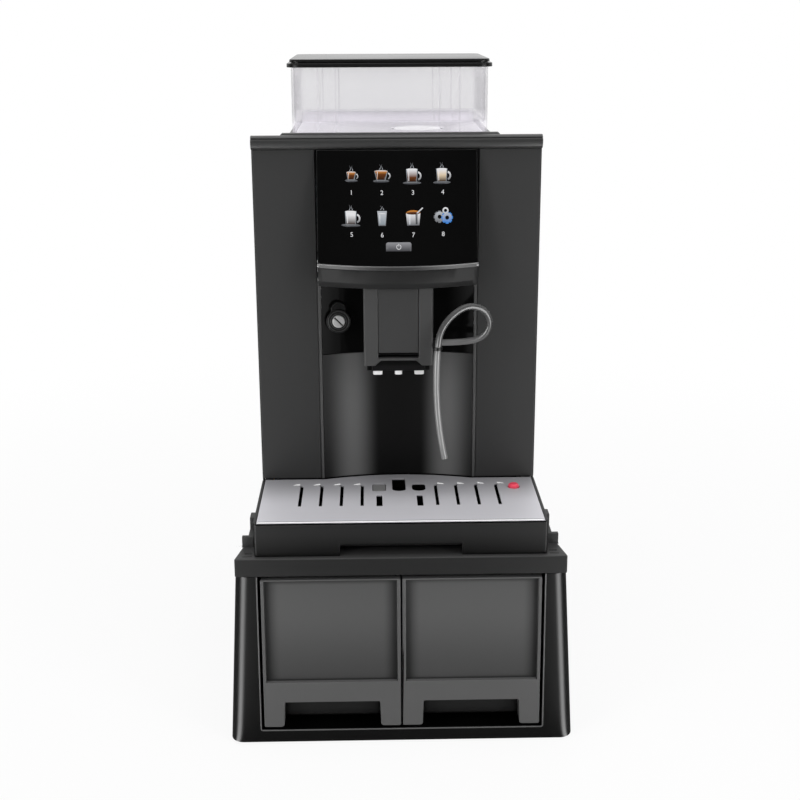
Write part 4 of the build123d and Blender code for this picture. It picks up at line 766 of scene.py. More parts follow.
class Tree:
    """Geometry Nodes with named inputs, whose result becomes one plain piece."""

    def __init__(self, name: str, finish: Finish, body: str, slot: str) -> None:
        """Starts the tree.

        Args:
            name: Name of the piece that it makes.
            finish: The piece's finish.
            body: The body that the piece rides on.
            slot: The record's material slot.
        """
        self.name, self.finish, self.body, self.slot = name, finish, body, slot
        self.tree = bpy.data.node_groups.new(name, "GeometryNodeTree")
        self.graph = Graph(self.tree)
        self.sockets: dict[str, str] = {}
        self.values: dict[str, object] = {}
        self.tree.interface.new_socket("Geometry", in_out="OUTPUT", socket_type="NodeSocketGeometry")
        self.source = self.graph.node("NodeGroupInput")

    def add(self, label: str, kind: str, value: object) -> None:
        """Adds a named input and keeps its identifier and value."""
        socket = self.tree.interface.new_socket(label, in_out="INPUT", socket_type="NodeSocket" + kind)
        self.sockets[label] = socket.identifier
        self.values[label] = value

    def given(self, label: str) -> Socket:
        """The socket that holds a named input."""
        return self.source.outputs[label]

    def geometry(self, label: str) -> Socket:
        """The geometry of the object that an input names."""
        return self.graph.node("GeometryNodeObjectInfo", {"transform_space": "ORIGINAL"},
                               {"Object": self.given(label)}).outputs["Geometry"]

    def finished(self, geometry: Socket, nodes: Sequence[str] = ()) -> Piece:
        """Ends the tree, sets its inputs and turns its result into the dressed piece.

        Args:
            geometry: The tree's result.
            nodes: CAD nodes that the piece replaces.

        Returns:
            The piece.
        """
        real = self.graph.node("GeometryNodeRealizeInstances", None, {"Geometry": geometry})
        coloured = self.graph.node("GeometryNodeSetMaterial", None,
                                   {"Geometry": real.outputs[0], "Material": self.finish.material()})
        self.graph.node("NodeGroupOutput", None, {0: coloured.outputs[0]})
        piece = made_object(self.name, bpy.data.meshes.new(self.name))
        modifier = piece.modifiers.new("tree", "NODES")
        modifier.node_group = self.tree
        for label, value in self.values.items():
            modifier[self.sockets[label]] = value
        settled(piece)
        for value in self.values.values():
            if isinstance(value, Piece):
                bpy.data.objects.remove(value)
        return dressed(piece, self.finish, self.body, self.slot, nodes)


class Repeats(Tree):
    """Copies of a small shape in a row, round a ring or at given places."""

    def _placed(self, shape: Piece, points: Socket, rotation: Socket | Point,
                nodes: Sequence[str] = ()) -> None:
        """Sets copies of a shape on points, turned, and finishes the piece."""
        self.add("Shape", "Object", shape)
        placed = self.graph.node("GeometryNodeInstanceOnPoints", None,
                                 {"Points": points, "Instance": self.geometry("Shape"), "Rotation": rotation})
        self.finished(placed.outputs["Instances"], nodes)

    def row(self, shape: Piece, count: int, start: Vector, step: Vector) -> None:
        """Copies in a straight row.

        Args:
            shape: The shape that is repeated.
            count: How many.
            start: Where the first stands.
            step: From one to the next.
        """
        self.add("Count", "Int", count)
        self.add("Start", "Vector", tuple(start))
        self.add("Step", "Vector", tuple(step))
        line = self.graph.node("GeometryNodeMeshLine", {"mode": "OFFSET"},
                               {"Count": self.given("Count"), "Start Location": self.given("Start"),
                                "Offset": self.given("Step")})
        self._placed(shape, line.outputs[0], ORIGIN)

    def at(self, shape: Piece, points: Sequence[Vector], turn: Point, nodes: Sequence[str] = ()) -> None:
        """Copies at given points.

        Args:
            shape: The shape that is repeated.
            points: Where they stand.
            turn: Turn of each copy about each axis, in degrees.
            nodes: CAD nodes that they replace.
        """
        self.add("Places", "Object", held(self.name + ".points", points))
        self.add("Turn", "Vector", tuple(math.radians(angle) for angle in turn))
        self._placed(shape, self.geometry("Places"), self.given("Turn"), nodes)

    def ring(self, shape: Piece, count: int, radius: float, centre: Vector) -> None:
        """Copies round an upright axis, each turned outwards.

        Args:
            shape: The shape that is repeated.
            count: How many.
            radius: Distance from the axis, in millimetres.
            centre: The middle of the ring.
        """
        self.add("Count", "Int", count)
        self.add("Radius", "Float", radius * MM)
        self.add("Centre", "Vector", tuple(centre))
        circle = self.graph.node("GeometryNodeMeshCircle", None,
                                 {"Vertices": self.given("Count"), "Radius": self.given("Radius")})
        moved = self.graph.node("GeometryNodeTransform", None,
                                {"Geometry": circle.outputs[0], "Translation": self.given("Centre")})
        number = Value(self.graph, self.graph.node("GeometryNodeInputIndex").outputs[0])
        angle = number * math.tau / Value(self.graph, self.given("Count"))
        turned = self.graph.node("ShaderNodeCombineXYZ", None, {"Z": angle})
        self._placed(shape, moved.outputs[0], turned.outputs[0])


class Bead(Tree):
    """A round bead along a line, with rounded corners."""

    def along(self, points: Sequence[Point], radius: float, corner: float = 0.0,
              closed: bool = False) -> None:
        """The bead along a line of points.

        Args:
            points: The line, in millimetres.
            radius: The bead's radius, in millimetres.
            corner: Radius of its corners, in millimetres.
            closed: Whether its end joins its start.
        """
        self.add("Radius", "Float", radius * MM)
        self.add("Corner", "Float", corner * MM)
        last = len(points) - 1
        edges = [(i, i + 1) for i in range(last)] + ([(last, 0)] if closed else [])
        self.add("Line", "Object", held(self.name + ".line", [metres(*point) for point in points], edges))
        line = self.graph.node("GeometryNodeMeshToCurve", None, {0: self.geometry("Line")})
        turned = self.graph.node("GeometryNodeFilletCurve", {"mode": "POLY"},
                                 {"Curve": line.outputs[0], "Count": 4, "Radius": self.given("Corner")})
        profile = self.graph.node("GeometryNodeCurvePrimitiveCircle", None,
                                  {"Resolution": 10, "Radius": self.given("Radius")})
        bead = self.graph.node("GeometryNodeCurveToMesh", None,
                               {"Curve": turned.outputs[0], "Profile Curve": profile.outputs[0],
                                "Fill Caps": True})
        self.finished(bead.outputs[0]).data.shade_smooth()


def around(steps: int) -> list[Flat]:
    """Cosine and sine of even steps round a circle."""
    return [(math.cos(math.tau * i / steps), math.sin(math.tau * i / steps)) for i in range(steps)]


def corners(shape: Shape, points: Sequence[Point]) -> list[Vert]:
    """New points of a shape, given in millimetres."""
    return [shape.verts.new(metres(*point)) for point in points]


def walled(shape: Shape, low: Sequence[Vert], high: Sequence[Vert]) -> None:
    """Adds the faces between two rings of as many points."""
    for face in zip(low, [*low[1:], low[0]], [*high[1:], high[0]], high):
        shape.faces.new(face)


def lofted(rings: Sequence[Sequence[Point]], capped: bool = True) -> Shape:
    """A shape over rings of as many points, with a closed foot.

    Args:
        rings: The rings from the foot to the top, anticlockwise, in millimetres.
        capped: Whether one face closes the top as well.

    Returns:
        The shape.
    """
    shape = bmesh.new()
    rows = [corners(shape, ring) for ring in rings]
    for low, high in zip(rows, rows[1:]):
        walled(shape, low, high)
    shape.faces.new(rows[0][::-1])
    if capped:
        shape.faces.new(rows[-1])
    return shape


def lathe(profile: Sequence[Flat], centre: Point = ORIGIN, steps: int = 48) -> Shape:
    """A closed turned shape about an upright axis.

    Args:
        profile: Radius and height of each ring, in millimetres, from the foot to the top.
        centre: A point that the heights are counted from, on the axis.
        steps: Sides of a ring.

    Returns:
        The shape, with its ends closed.
    """
    x, y, z = centre
    return lofted([[(x + radius * c, y + radius * s, z + height) for c, s in around(steps)]
                   for radius, height in profile])


def horn(name: str, points: Sequence[Point], radii: Sequence[float], flat: float, sides: int = 8
         ) -> Piece:
    """A bar that tapers along a line of points, with closed ends.

    Args:
        name: The object's name.
        points: The line, in millimetres, level with X.
        radii: The bar's radius at each point, in millimetres.
        flat: Its height as a share of its width.
        sides: Sides of the bar.

    Returns:
        The object.
    """
    shape = lofted([[(x, y + radius * c, z + radius * flat * s) for c, s in around(sides)]
                    for (x, y, z), radius in zip(points, radii)])
    bmesh.ops.recalc_face_normals(shape, faces=shape.faces)
    return from_shape(name, shape)


def slab(name: str, outline: Sequence[Flat], low: float, high: float, ease: float,
         hole: Sequence[Flat] = ()) -> Piece:
    """An upright slab with eased edges, and with a hole where one is given.

    Args:
        name: The object's name.
        outline: Its outline across and back, anticlockwise, in millimetres.
        low: Its foot.
        high: Its top.
        ease: Width of the eased edges.
        hole: The hole's outline, with as many points as the outline and in step with it.

    Returns:
        The object.
    """
    if hole:
        shape = bmesh.new()
        foot, top, inner_foot, inner_top = (corners(shape, [(x, y, z) for x, y in line])
                                            for line in (outline, hole) for z in (low, high))
        for lower, upper in ((foot, top), (inner_top, inner_foot), (top, inner_top), (inner_foot, foot)):
            walled(shape, lower, upper)
    else:
        shape = lofted([[(x, y, z) for x, y in outline] for z in (low, high)])
    return worked(from_shape(name, shape), "BEVEL", width=ease * MM, segments=2, limit_method="ANGLE",
                  angle_limit=math.radians(50))


def rounded_outline(x: float, y: float, half_x: float, half_y: float, corner: float, steps: int = 8
                    ) -> list[Flat]:
    """A rectangle's outline with rounded corners, anticlockwise from its right side.

    Args:
        x: Its middle across.
        y: Its middle back.
        half_x: Half its width.
        half_y: Half its depth.
        corner: Radius of its corners.
        steps: Steps round a corner.

    Returns:
        The points.
    """
    points = []
    for quarter, (sx, sy) in enumerate(((1, -1), (1, 1), (-1, 1), (-1, -1))):
        for i in range(steps + 1):
            angle = math.radians(-90 + 90 * quarter + 90 * i / steps)
            points.append((x + sx * (half_x - corner) + corner * math.cos(angle),
                           y + sy * (half_y - corner) + corner * math.sin(angle)))
    return points


def dome_screw(name: str, radius: float, height: float) -> Piece:
    """A low domed screw head with a cross recess, standing on the ground with its axis upright.

    Args:
        name: The object's name.
        radius: The head's radius, in millimetres.
        height: Its height.

    Returns:
        The object.
    """
    arm, half, floor = radius * 0.5, radius * 0.13, height * 0.45
    plus = [(arm, -half), (arm, half), (half, half), (half, arm), (-half, arm), (-half, half),
            (-arm, half), (-arm, -half), (-half, -half), (-half, -arm), (half, -arm), (half, -half)]
    dome = ((1.0, 0.0), (1.0, 0.5), (0.86, 0.86), (0.62, 1.0))
    rings = [[(x * radius * reach / math.hypot(x, y), y * radius * reach / math.hypot(x, y), height * rise)
              for x, y in plus] for reach, rise in dome]
    rings += [[(x, y, z) for x, y in plus] for z in (height, floor)]
    shape = lofted(rings, capped=False)
    recess = list(shape.verts)[-len(plus):]
    for face in ((0, 1, 2, 11), (2, 3, 4, 5), (5, 6, 7, 8), (8, 9, 10, 11), (2, 5, 8, 11)):
        shape.faces.new([recess[i] for i in face])
    return from_shape(name, shape)


@dataclass(frozen=True)
class Lamp:
    """A soft rectangular lamp that no glossy surface mirrors.

    Attributes:
        name: Its name.
        place: Where it stands, in metres.
        aim: Height over the middle of the floor that it faces, in metres.
        width: Its width, in metres.
        height: Its height, in metres.
        power: Its power, in watts.
    """

    name: str
    place: Point
    aim: float
    width: float
    height: float
    power: float

    def build(self) -> None:
        """Hangs the lamp."""
        data = bpy.data.lights.new(self.name, "AREA")
        data.shape = "RECTANGLE"
        data.size, data.size_y, data.energy = self.width, self.height, self.power
        lamp = made_object(self.name, data)
        way = Vector((0.0, 0.0, self.aim)) - Vector(self.place)
        lamp.matrix_world = Matrix.Translation(self.place) @ way.to_track_quat("-Z", "Y").to_matrix().to_4x4()
        lamp.visible_camera = lamp.visible_glossy = False


@dataclass
class Studio:
    """Floor, lamps, surroundings and the camera.

    Attributes:
        eye: Where the camera stands, in millimetres.
        yaw: Turn to the right, in degrees.
        pitch: Tilt downwards, in degrees.
        roll: Turn about the view, in degrees.
        focal: Focal length, in pixels of the frame.
        frame_width: Width of the frame, in pixels.
        sensor: Width of the camera's sensor, in millimetres.
        lamps: The lamps.
        ambient: Strength of the even light from all sides.
        floor_half: Half the floor's width, in metres.
        floor_drop: How far the floor lies below the feet, in metres.
        floor_white: Share of plain white in the floor near the object, as the camera sees it.
        floor_gloss: Strength of the floor in glossy surfaces.
        strip_light: Strength that the two light wedges on the floor add there.
        strip_start: Where the wedges start, across and along Y, in millimetres.
        wedge: Slopes between which a wedge grows, and slopes between which it goes again.
        wedge_soft: Depth over which its start is soft, in millimetres.
        white_reach: Distances from the middle over which the floor turns plain white, in millimetres.
        mirrored_back: Directions along Y over which gloss finds light behind the object, and its strength.
        mirrored_top: Directions upwards over which gloss finds light above, and its strength.
        mirrored_front: Strength of what gloss finds in front.
    """

    eye: Point = (-27.2335, -1472.70, 749.794)
    yaw: float = 1.2194
    pitch: float = 16.6420
    roll: float = -0.2390
    focal: float = 1317.775
    frame_width: float = 800.0
    sensor: float = 36.0
    lamps: tuple[Lamp, ...] = (
        Lamp("lamp left", place=(-1.75, -1.75, 1.15), aim=0.35, width=0.75, height=1.9, power=20.0),
        Lamp("lamp right", place=(1.75, -1.75, 1.15), aim=0.35, width=0.75, height=1.9, power=20.0),
        Lamp("lamp above", place=(0.0, -0.35, 2.3), aim=0.4, width=1.6, height=1.2, power=22.0),
        Lamp("lamp behind", place=(0.5, 2.2, 1.4), aim=0.35, width=1.2, height=1.4, power=12.0))
    ambient: float = 0.42
    floor_half: float = 14.0
    floor_drop: float = 0.0003
    floor_white: float = 0.9
    floor_gloss: float = 0.12
    strip_light: float = 7.2
    strip_start: Flat = (172.0, -226.0)
    wedge: tuple[Flat, Flat] = ((0.25, 0.7), (1.2, 2.6))
    wedge_soft: float = 8.0
    white_reach: Flat = (500.0, 1500.0)
    mirrored_back: Point = (-0.2, 0.4, 0.9)
    mirrored_top: Point = (0.5, 0.9, 0.5)
    mirrored_front: float = 0.05

    def build(self) -> None:
        """Builds the camera, the surroundings, the lamps and the floor."""
        bpy.context.scene.view_settings.view_transform = "Standard"
        self._camera()
        self._surroundings()
        for lamp in self.lamps:
            lamp.build()
        self._floor()

    def _camera(self) -> None:
        """Sets the camera at the photograph's viewpoint."""
        yaw, pitch, roll = (math.radians(angle) for angle in (self.yaw, self.pitch, self.roll))
        ahead = Vector((math.sin(yaw) * math.cos(pitch), math.cos(yaw) * math.cos(pitch), -math.sin(pitch)))
        right = Vector((math.cos(yaw), -math.sin(yaw), 0.0))
        up = right.cross(ahead)
        across = right * math.cos(roll) + up * math.sin(roll)
        upward = up * math.cos(roll) - right * math.sin(roll)
        data = bpy.data.cameras.new("camera")
        data.sensor_width = self.sensor
        data.lens = self.focal / self.frame_width * self.sensor
        camera = made_object("camera", data)
        turn = Matrix((across, upward, -ahead)).transposed().to_4x4()
        camera.matrix_world = Matrix.Translation(metres(*self.eye)) @ turn
        bpy.context.scene.camera = camera

    def _surroundings(self) -> None:
        """White for the camera and behind the object, dark in front, and even for diffuse light."""
        world = bpy.data.worlds.new("studio")
        world.use_nodes = True
        bpy.context.scene.world = world
        graph = Graph(world.node_tree)
        path = graph.node("ShaderNodeLightPath").outputs
        seen = Value(graph, path["Is Camera Ray"]) + Value(graph, path["Is Transmission Ray"])
        ray = graph.node("ShaderNodeTexCoord").outputs["Generated"]
        parts = graph.node("ShaderNodeSeparateXYZ", None, {"Vector": ray}).outputs
        behind, overhead = (
            Value(graph, parts[way]).ramp(start, end) * strength
            for way, (start, end, strength) in (("Y", self.mirrored_back), ("Z", self.mirrored_top)))
        mirrored = Value(graph, path["Is Glossy Ray"]) * (
            behind + overhead + (self.mirrored_front - self.ambient))
        strength = seen * (1.0 - self.ambient) + mirrored + self.ambient
        back = graph.node("ShaderNodeBackground", None, {"Color": grey_share(1.0), "Strength": strength})
        graph.node("ShaderNodeOutputWorld", None, {"Surface": back.outputs[0]})

    def _floor(self) -> None:
        """A plain floor, white for the camera, with the object's shadow and two light wedges in gloss."""
        shape = bmesh.new()
        bmesh.ops.create_grid(shape, x_segments=24, y_segments=24, size=self.floor_half)
        bmesh.ops.translate(shape, verts=shape.verts, vec=(0.0, 0.0, -self.floor_drop))
        floor = from_shape("floor", shape)
        graph = Graph.of_material("pale floor")
        path = graph.node("ShaderNodeLightPath").outputs
        camera, glossy = Value(graph, path["Is Camera Ray"]), Value(graph, path["Is Glossy Ray"])
        x, y, _ = graph.axes()
        ahead = self.strip_start[1] - y
        spread = (abs(x) - self.strip_start[0]) / ahead
        grows, goes = (spread.ramp(*slopes) for slopes in self.wedge)
        strip = grows * (1.0 - goes) * ahead.ramp(0.0, self.wedge_soft)
        matt = graph.node("ShaderNodeBsdfDiffuse", None, {"Color": grey_share(0.82)})
        glow = camera + glossy * (strip * self.strip_light + self.floor_gloss)
        white = graph.node("ShaderNodeEmission", None, {"Color": grey_share(1.0), "Strength": glow})
        far = ((x * x + y * y) ** 0.5).ramp(*self.white_reach)
        share = camera * (far * (1.0 - self.floor_white) + self.floor_white) + glossy
        mixed = graph.node("ShaderNodeMixShader", None, {0: share, 1: matt.outputs[0], 2: white.outputs[0]})
        floor.data.materials.append(graph.finish(mixed))


@dataclass
class MilkHose:
    """The milk hose: out of its socket on the spout, round in a loop, through its ring and down.

    Attributes:
        route: The points that the hose follows, in millimetres.
        diameter: Its outer diameter, in millimetres.
        length: Its length, in millimetres.
        finish: Its finish.
        holder: Finish of its socket and ring.
    """

    route: Sequence[Point] = (
        (44.0, -114.5, 407.0), (65.9, -114.5, 407.0), (88.2, -119.5, 411.8), (97.7, -124.9, 428.6),
        (90.9, -131.5, 446.4), (72.8, -137.3, 452.7), (55.7, -141.4, 443.3), (43.5, -143.8, 427.5),
        (40.4, -144.4, 408.2), (39.3, -145.0, 384.0), (39.4, -144.6, 358.0), (41.3, -144.4, 331.0),
        (44.6, -144.8, 306.0), (48.4, -145.2, 287.5))
    diameter: float = 7.0
    length: float = 281.0
    # painted shade: the hose darkens upwards from 396 mm to 424 mm, so its loop reads as the dark recess seen
    # through it
    finish: Finish = Plastic("hose silicone", grey(127), roughness=0.26, specular=0.7, grain=3.0,
                             relief=0.02, cloud=0.12, painted_shades=(PaintedShadeRamp(loss=0.7, lost=424.0, kept=396.0),))
    holder: Finish = Plastic("hose holder", grey(20), roughness=0.4)

    def build(self) -> None:
        data = bpy.data.curves.new("milk hose", "CURVE")
        data.dimensions = "3D"
        data.bevel_depth = self.diameter / 2 * MM
        data.bevel_resolution = 6
        data.resolution_u = 14
        data.use_fill_caps = True
        spline = data.splines.new("NURBS")
        spline.points.add(len(self.route) - 1)
        for point, place in zip(spline.points, self.route):
            point.co = (*metres(*place), 1.0)
        spline.order_u = 3
        spline.use_endpoint_u = True
        hose = dressed(made_object("milk_hose.tube", data), self.finish, "spout", "hose_silicone",
                       ["milk_hose"])
        eased("hose_holder", self.holder, "holder_black", 0.3)


@dataclass
class Cabinet:
    """The drawer cabinet under the machine. Its sizes are in millimetres.

    Attributes:
        notch_middle: Middle of a drawer's finger notch, from the middle plane.
        notch_half: Half the notch's width at its top and at its foot.
        notch_top: Heights over the drawer's foot between which the notch's top lies.
        solid_half: Limits of half the notch's width in the solids, at its top and at its foot.
        notch_sides: Distances from the notch's middle between which its sides lie.
        leg_outside: Distance from the notch's middle past which a leg's outer corner lies.
        leg_rise: How far the drawer's legs end over the sill.
        leg_corner: Radius of the legs' corners.
        scoop_profile: Line of the wall behind the notch, along Y and up.
        scoop_spare: How far that wall runs past the notch on each side.
        scoop_wall: Its thickness.
        opening_half: Half the width between the lines of the opening's bead.
        opening_ends: Height of the bead's lowest line and of its upper ends.
        bead_front: Place along Y of the leaning front at its foot, and how far it leans back.
        lean_heights: Heights between which it leans back by that.
        bead_size: Radius of the bead and of its corners.
        corner_middle: Middle of the deck's rounded corner, across.
        corner_front: Middle of its front corner, along Y.
        corner_rear: Middle of its rear corner, along Y.
        deck_taper: Share of its corners' reach that the deck's sides lose over its front bar.
        deck_front: The deck's front edge, along Y.
        deck_depth: Depth of the deck's front bar.
        deck_top: Height over which the deck is left as it is.
        rail_gap: Limits across and along Y of the rail's end, which is left as it is.
        deck_end: Place along Y past which the deck is left as it is.
    """

    notch_middle: float = 73.25
    notch_half: Flat = (50.3, 51.2)
    notch_top: Flat = (28.0, 32.0)
    solid_half: tuple[Flat, Flat] = ((45.0, 49.0), (50.0, 54.0))
    notch_sides: Flat = (48.0, 54.0)
    leg_outside: float = 60.0
    leg_rise: float = 2.6
    leg_corner: float = 3.0
    scoop_profile: tuple[Flat, ...] = (
        (-215.9, 48.6), (-215.7, 40.0), (-215.0, 30.0), (-214.0, 24.5), (-211.6, 20.8), (-207.6, 19.0),
        (-202.0, 18.4))
    scoop_spare: float = 1.2
    scoop_wall: float = 1.4
    opening_half: float = 149.1
    opening_ends: Flat = (15.35, 188.4)
    bead_front: Flat = (-233.6, 8.0)
    lean_heights: Flat = (2.0, 189.0)
    bead_size: Flat = (0.75, 2.0)
    corner_middle: float = 159.5
    corner_front: float = -214.0
    corner_rear: float = -198.0
    deck_taper: float = 0.2
    deck_front: float = -226.0
    deck_depth: float = 12.0
    deck_top: float = 208.6
    rail_gap: tuple[Flat, Flat] = ((158.9, 165.6), (-194.1, -188.4))
    deck_end: float = -185.9
    shell: Finish = Plastic("cabinet shell", grey(12), roughness=0.3, specular=0.42, grain=0.7,
                            relief=0.0015, cloud=0.05)
    # painted shade: the deck's front band, below its top face, is darkened as if less lit
    deck: Finish = Plastic("cabinet deck", grey(62), roughness=0.5, specular=0.25, grain=0.8, relief=0.014,
                           cloud=0.05, painted_shades=(PaintedShadeRamp(loss=0.66, lost=206.9, kept=208.2),))
    # painted shade: each drawer's sunk panel is darker at its rim and towards its foot
    drawer: Finish = Plastic("drawer face", grey(90), roughness=0.42, grain=0.8, relief=0.01, cloud=0.04,
                             painted_shades=(PaintedRecessShade(loss=0.7, base=0.12, across=(4.3, 142.2), height=(69.6, 183.0),
                                            width=(16.0, 3.0, 7.0)),
                                     PaintedRecessShade(loss=0.36, base=0.0, across=(4.3, 142.2), height=(69.6, 183.0),
                                            width=(0.1, 80.0, 0.1))))
    tub: Finish = Plastic("drawer tub", grey(30), roughness=0.5, specular=0.2)
    # painted shade: the finger scoop is darker towards its foot
    scoop: Finish = Plastic("finger scoop", grey(40), roughness=0.4, specular=0.4, grain=0.8, relief=0.006,
                            cloud=0.05, painted_shades=(PaintedShadeRamp(loss=0.85, lost=19.0, kept=25.0),))
    # painted highlight: the opening bead's light grey stands in for light caught on the opening's edge
    bead: Finish = Plastic("opening bead", grey(92), roughness=0.35, specular=0.4)

    def build(self) -> None:
        """Eases and finishes the cabinet's pieces."""
        eased("base_shell", self.shell, "cabinet_plastic", 0.7)
        eased("base_deck", self.deck, "cabinet_plastic", reshape=self._deck_corners)
        for side, sign in SIDES.items():
            eased(f"{side}_drawer_face", self.drawer, "drawer_plastic", 0.6, reshape=self._notch)
            eased(f"{side}_drawer_bin", self.tub, "bin_plastic")
            self._finger_scoop(side, sign)
        coated("base_feet", RUBBER)
        self._opening_bead()

    def _notch(self, shape: Shape) -> None:
        """Makes a drawer's notch upright and rounds its corners and legs."""
        foot = min(vert.co.z for vert in shape.verts) / MM
        for vert in shape.verts:
            x, y, z = vert.co / MM
            across = abs(x) - self.notch_middle
            ends = (between(z - foot, self.notch_top), z < foot + 1.0)
            for there, half, limits in zip(ends, self.notch_half, self.solid_half):
                if there and between(abs(across), limits):
                    across = math.copysign(half, across)
            if ends[1]:
                z = foot + self.leg_rise
            vert.co = metres(math.copysign(self.notch_middle + across, x), y, z)
        leg_end = foot + self.leg_rise + 0.3

        def out(x: float) -> float:
            """Distance from the notch's middle."""
            return abs(abs(x) - self.notch_middle)

        def beside(x: float) -> bool:
            """Whether a point lies in one of the notch's sides."""
            return between(out(x), self.notch_sides)

        corner = self.leg_corner
        rounded(shape, 1, lambda x, y, z: z < leg_end and beside(x), corner)
        rounded(shape, 1, lambda x, y, z: z < leg_end and out(x) > self.leg_outside, corner / 2, 3)
        rounded(shape, 1, lambda x, y, z: between(z - foot, self.notch_top) and beside(x), corner * 0.7)

    def _finger_scoop(self, side: str, sign: float) -> None:
        """The hollow-curved wall behind the finger notch of the drawer on that side."""
        half = self.notch_half[1] + self.scoop_spare
        shape = bmesh.new()
        rows = [corners(shape, [(sign * self.notch_middle + half * step / 6, y, z) for step in range(-6, 7)])
                for y, z in self.scoop_profile]
        for upper, lower in zip(rows, rows[1:]):
            for face in zip(upper, lower, lower[1:], upper[1:]):
                shape.faces.new(face)
        piece = worked(from_shape(f"{side}_finger_scoop", shape, 60.0), "SOLIDIFY", offset=-1.0,
                       thickness=self.scoop_wall * MM)
        dressed(piece, self.scoop, f"{side}_drawer", "bin_plastic")

    def _deck_corners(self, shape: Shape) -> None:
        """Squares the deck's front corners and lets its sides run in towards the rails."""
        for vert in shape.verts:
            x, y, z = vert.co / MM
            out = abs(x) - self.corner_middle
            rail = between(abs(x), self.rail_gap[0]) and between(y, self.rail_gap[1])
            if out <= 0.05 or z > self.deck_top or rail or y > self.deck_end:
                continue
            front, rear = self.corner_front - y, y - self.corner_rear
            beyond = front if front > 0 else rear
            if beyond > 0:
                stretch = math.hypot(out, beyond) / max(out, beyond)
                out *= stretch
                beyond *= stretch
                y = self.corner_front - beyond if front > 0 else self.corner_rear + beyond
            out *= 1.0 - self.deck_taper * (y - self.deck_front) / self.deck_depth
            vert.co = metres(math.copysign(self.corner_middle + out, x), y, z)

    def _opening_bead(self) -> None:
        """A fine light grey bead round the opening, on the cabinet's leaning front: a painted highlight along
        the opening's edge.
        """
        (front, lean), (foot, head) = self.bead_front, self.lean_heights
        low, high = ((front + lean * (z - foot) / (head - foot), z) for z in self.opening_ends)
        half = self.opening_half
        line = [(-half, *high), (-half, *low), (half, *low), (half, *high)]
        Bead("opening_bead", self.bead, "machine", "cabinet_plastic").along(line, *self.bead_size)


@dataclass
class Body:
    """Panels, covers and the frame of the machine.

    Attributes:
        screw_radius: Radius of a screw's head, in millimetres.
        screw_height: Its height.
    """

    screw_radius: float = 3.4
    screw_height: float = 1.6
    panel: Finish = Plastic("side panel", grey(49), roughness=0.5, specular=0.2, grain=0.6, relief=0.008,
                            cloud=0.03)
    cap: Finish = Plastic("top cap", grey(50), roughness=0.32, specular=0.6, grain=0.8, relief=0.006,
                          cloud=0.04)
    sheet: Finish = Metal("galvanised sheet", grey(150), roughness=0.42, run=Direction.CAST, relief=0.01)
    screw: Finish = Metal("zinc screw", grey(170), roughness=0.28, run=Direction.CAST)

    def build(self) -> None:
        """Eases and finishes the body's pieces."""
        for side in SIDES:
            eased(f"{side}_side_cover", self.panel, "panel_grey", 0.4)
            eased(f"{side}_front_panel", self.panel, "panel_grey")
        eased("rear_cover", self.panel, "panel_grey", 0.4)
        eased("top_cover", self.cap, "cap_plastic")
        eased("tank_lid", self.cap, "cap_plastic", 0.8)
        coated("machine_feet", RUBBER)
        for node in ("chassis", "equipment_shelf"):
            coated(node, self.sheet)
        self._screws()

    def _screws(self) -> None:
        """Cross-recess screws on the rear cover and on both side covers."""
        boxes = islands("case_screws")
        for name, axis, sign, turn in (("rear", 1, 1, (-90.0, 0.0, 0.0)), ("right", 0, 1, (0.0, 90.0, 0.0)),
                                       ("left", 0, -1, (0.0, -90.0, 0.0))):
            seats = []
            for low, high in boxes:
                size, seat = high - low, (low + high) / 2
                if size[axis] == min(size) and (axis == 1 or seat[axis] * sign > 0):
                    seat[axis] = low[axis] if sign > 0 else high[axis]
                    seats.append(seat)
            head = dome_screw("screw", self.screw_radius, self.screw_height)
            Repeats(f"{name}_screws", self.screw, "machine", "screw_steel").at(
                head, seats, turn, ["case_screws"] if name == "rear" else ())


@dataclass
class Head:
    """The leaning head with its screen, trim strip and brow.

    Attributes:
        pin_front: Where the pins at the trim strip's ends stand, along Y, in millimetres.
        pin_profile: Radius and height of a pin's rings.
    """

    pin_front: float = -121.5
    pin_profile: tuple[Flat, ...] = ((1.9, -1.5), (1.9, 0.4), (1.4, 0.9), (0.7, 1.15))
    pin: Finish = Metal("bright pin", grey(140), roughness=0.25, run=Direction.CAST, relief=0.003,
                        metallic=0.4)
    shell: Finish = Plastic("head shell", grey(38), specular=0.14, grain=0.6, relief=0.008, cloud=0.03)
    glass: Finish = Gloss("screen glass", grey(9), roughness=0.05, specular=0.08)
    # painted highlight: the trim strip keeps its light tone only along its top edge, and painted shade
    # darkens the rest
    trim: Finish = Metal("trim strip", grey(106), roughness=0.4, relief=0.004, metallic=0.3, streak=0.05,
                         painted_shades=(PaintedShadeRamp(loss=0.74, lost=492.9, kept=493.7),))
    display: Finish = Plastic("display back", grey(20), roughness=0.4)

    def build(self) -> None:
        """Eases and finishes the head's pieces."""
        eased("head_housing", self.shell, "head_plastic", 0.6)
        eased("head_trim", self.trim, "trim_silver", 0.35)
        eased("screen_glass", self.glass, "screen_black", 0.3)
        coated("display_panel", self.display)
        low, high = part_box("head_trim")
        out = high[0] - self.pin_profile[0][0] * MM
        ends = [Vector((sign * out, self.pin_front * MM, (low[2] + high[2]) / 2)) for sign in SIDES.values()]
        pin = from_shape("pin", lathe(self.pin_profile, steps=16))
        Repeats("trim_pins", self.pin, "machine", "trim_silver").at(pin, ends, (90.0, 0.0, 0.0))


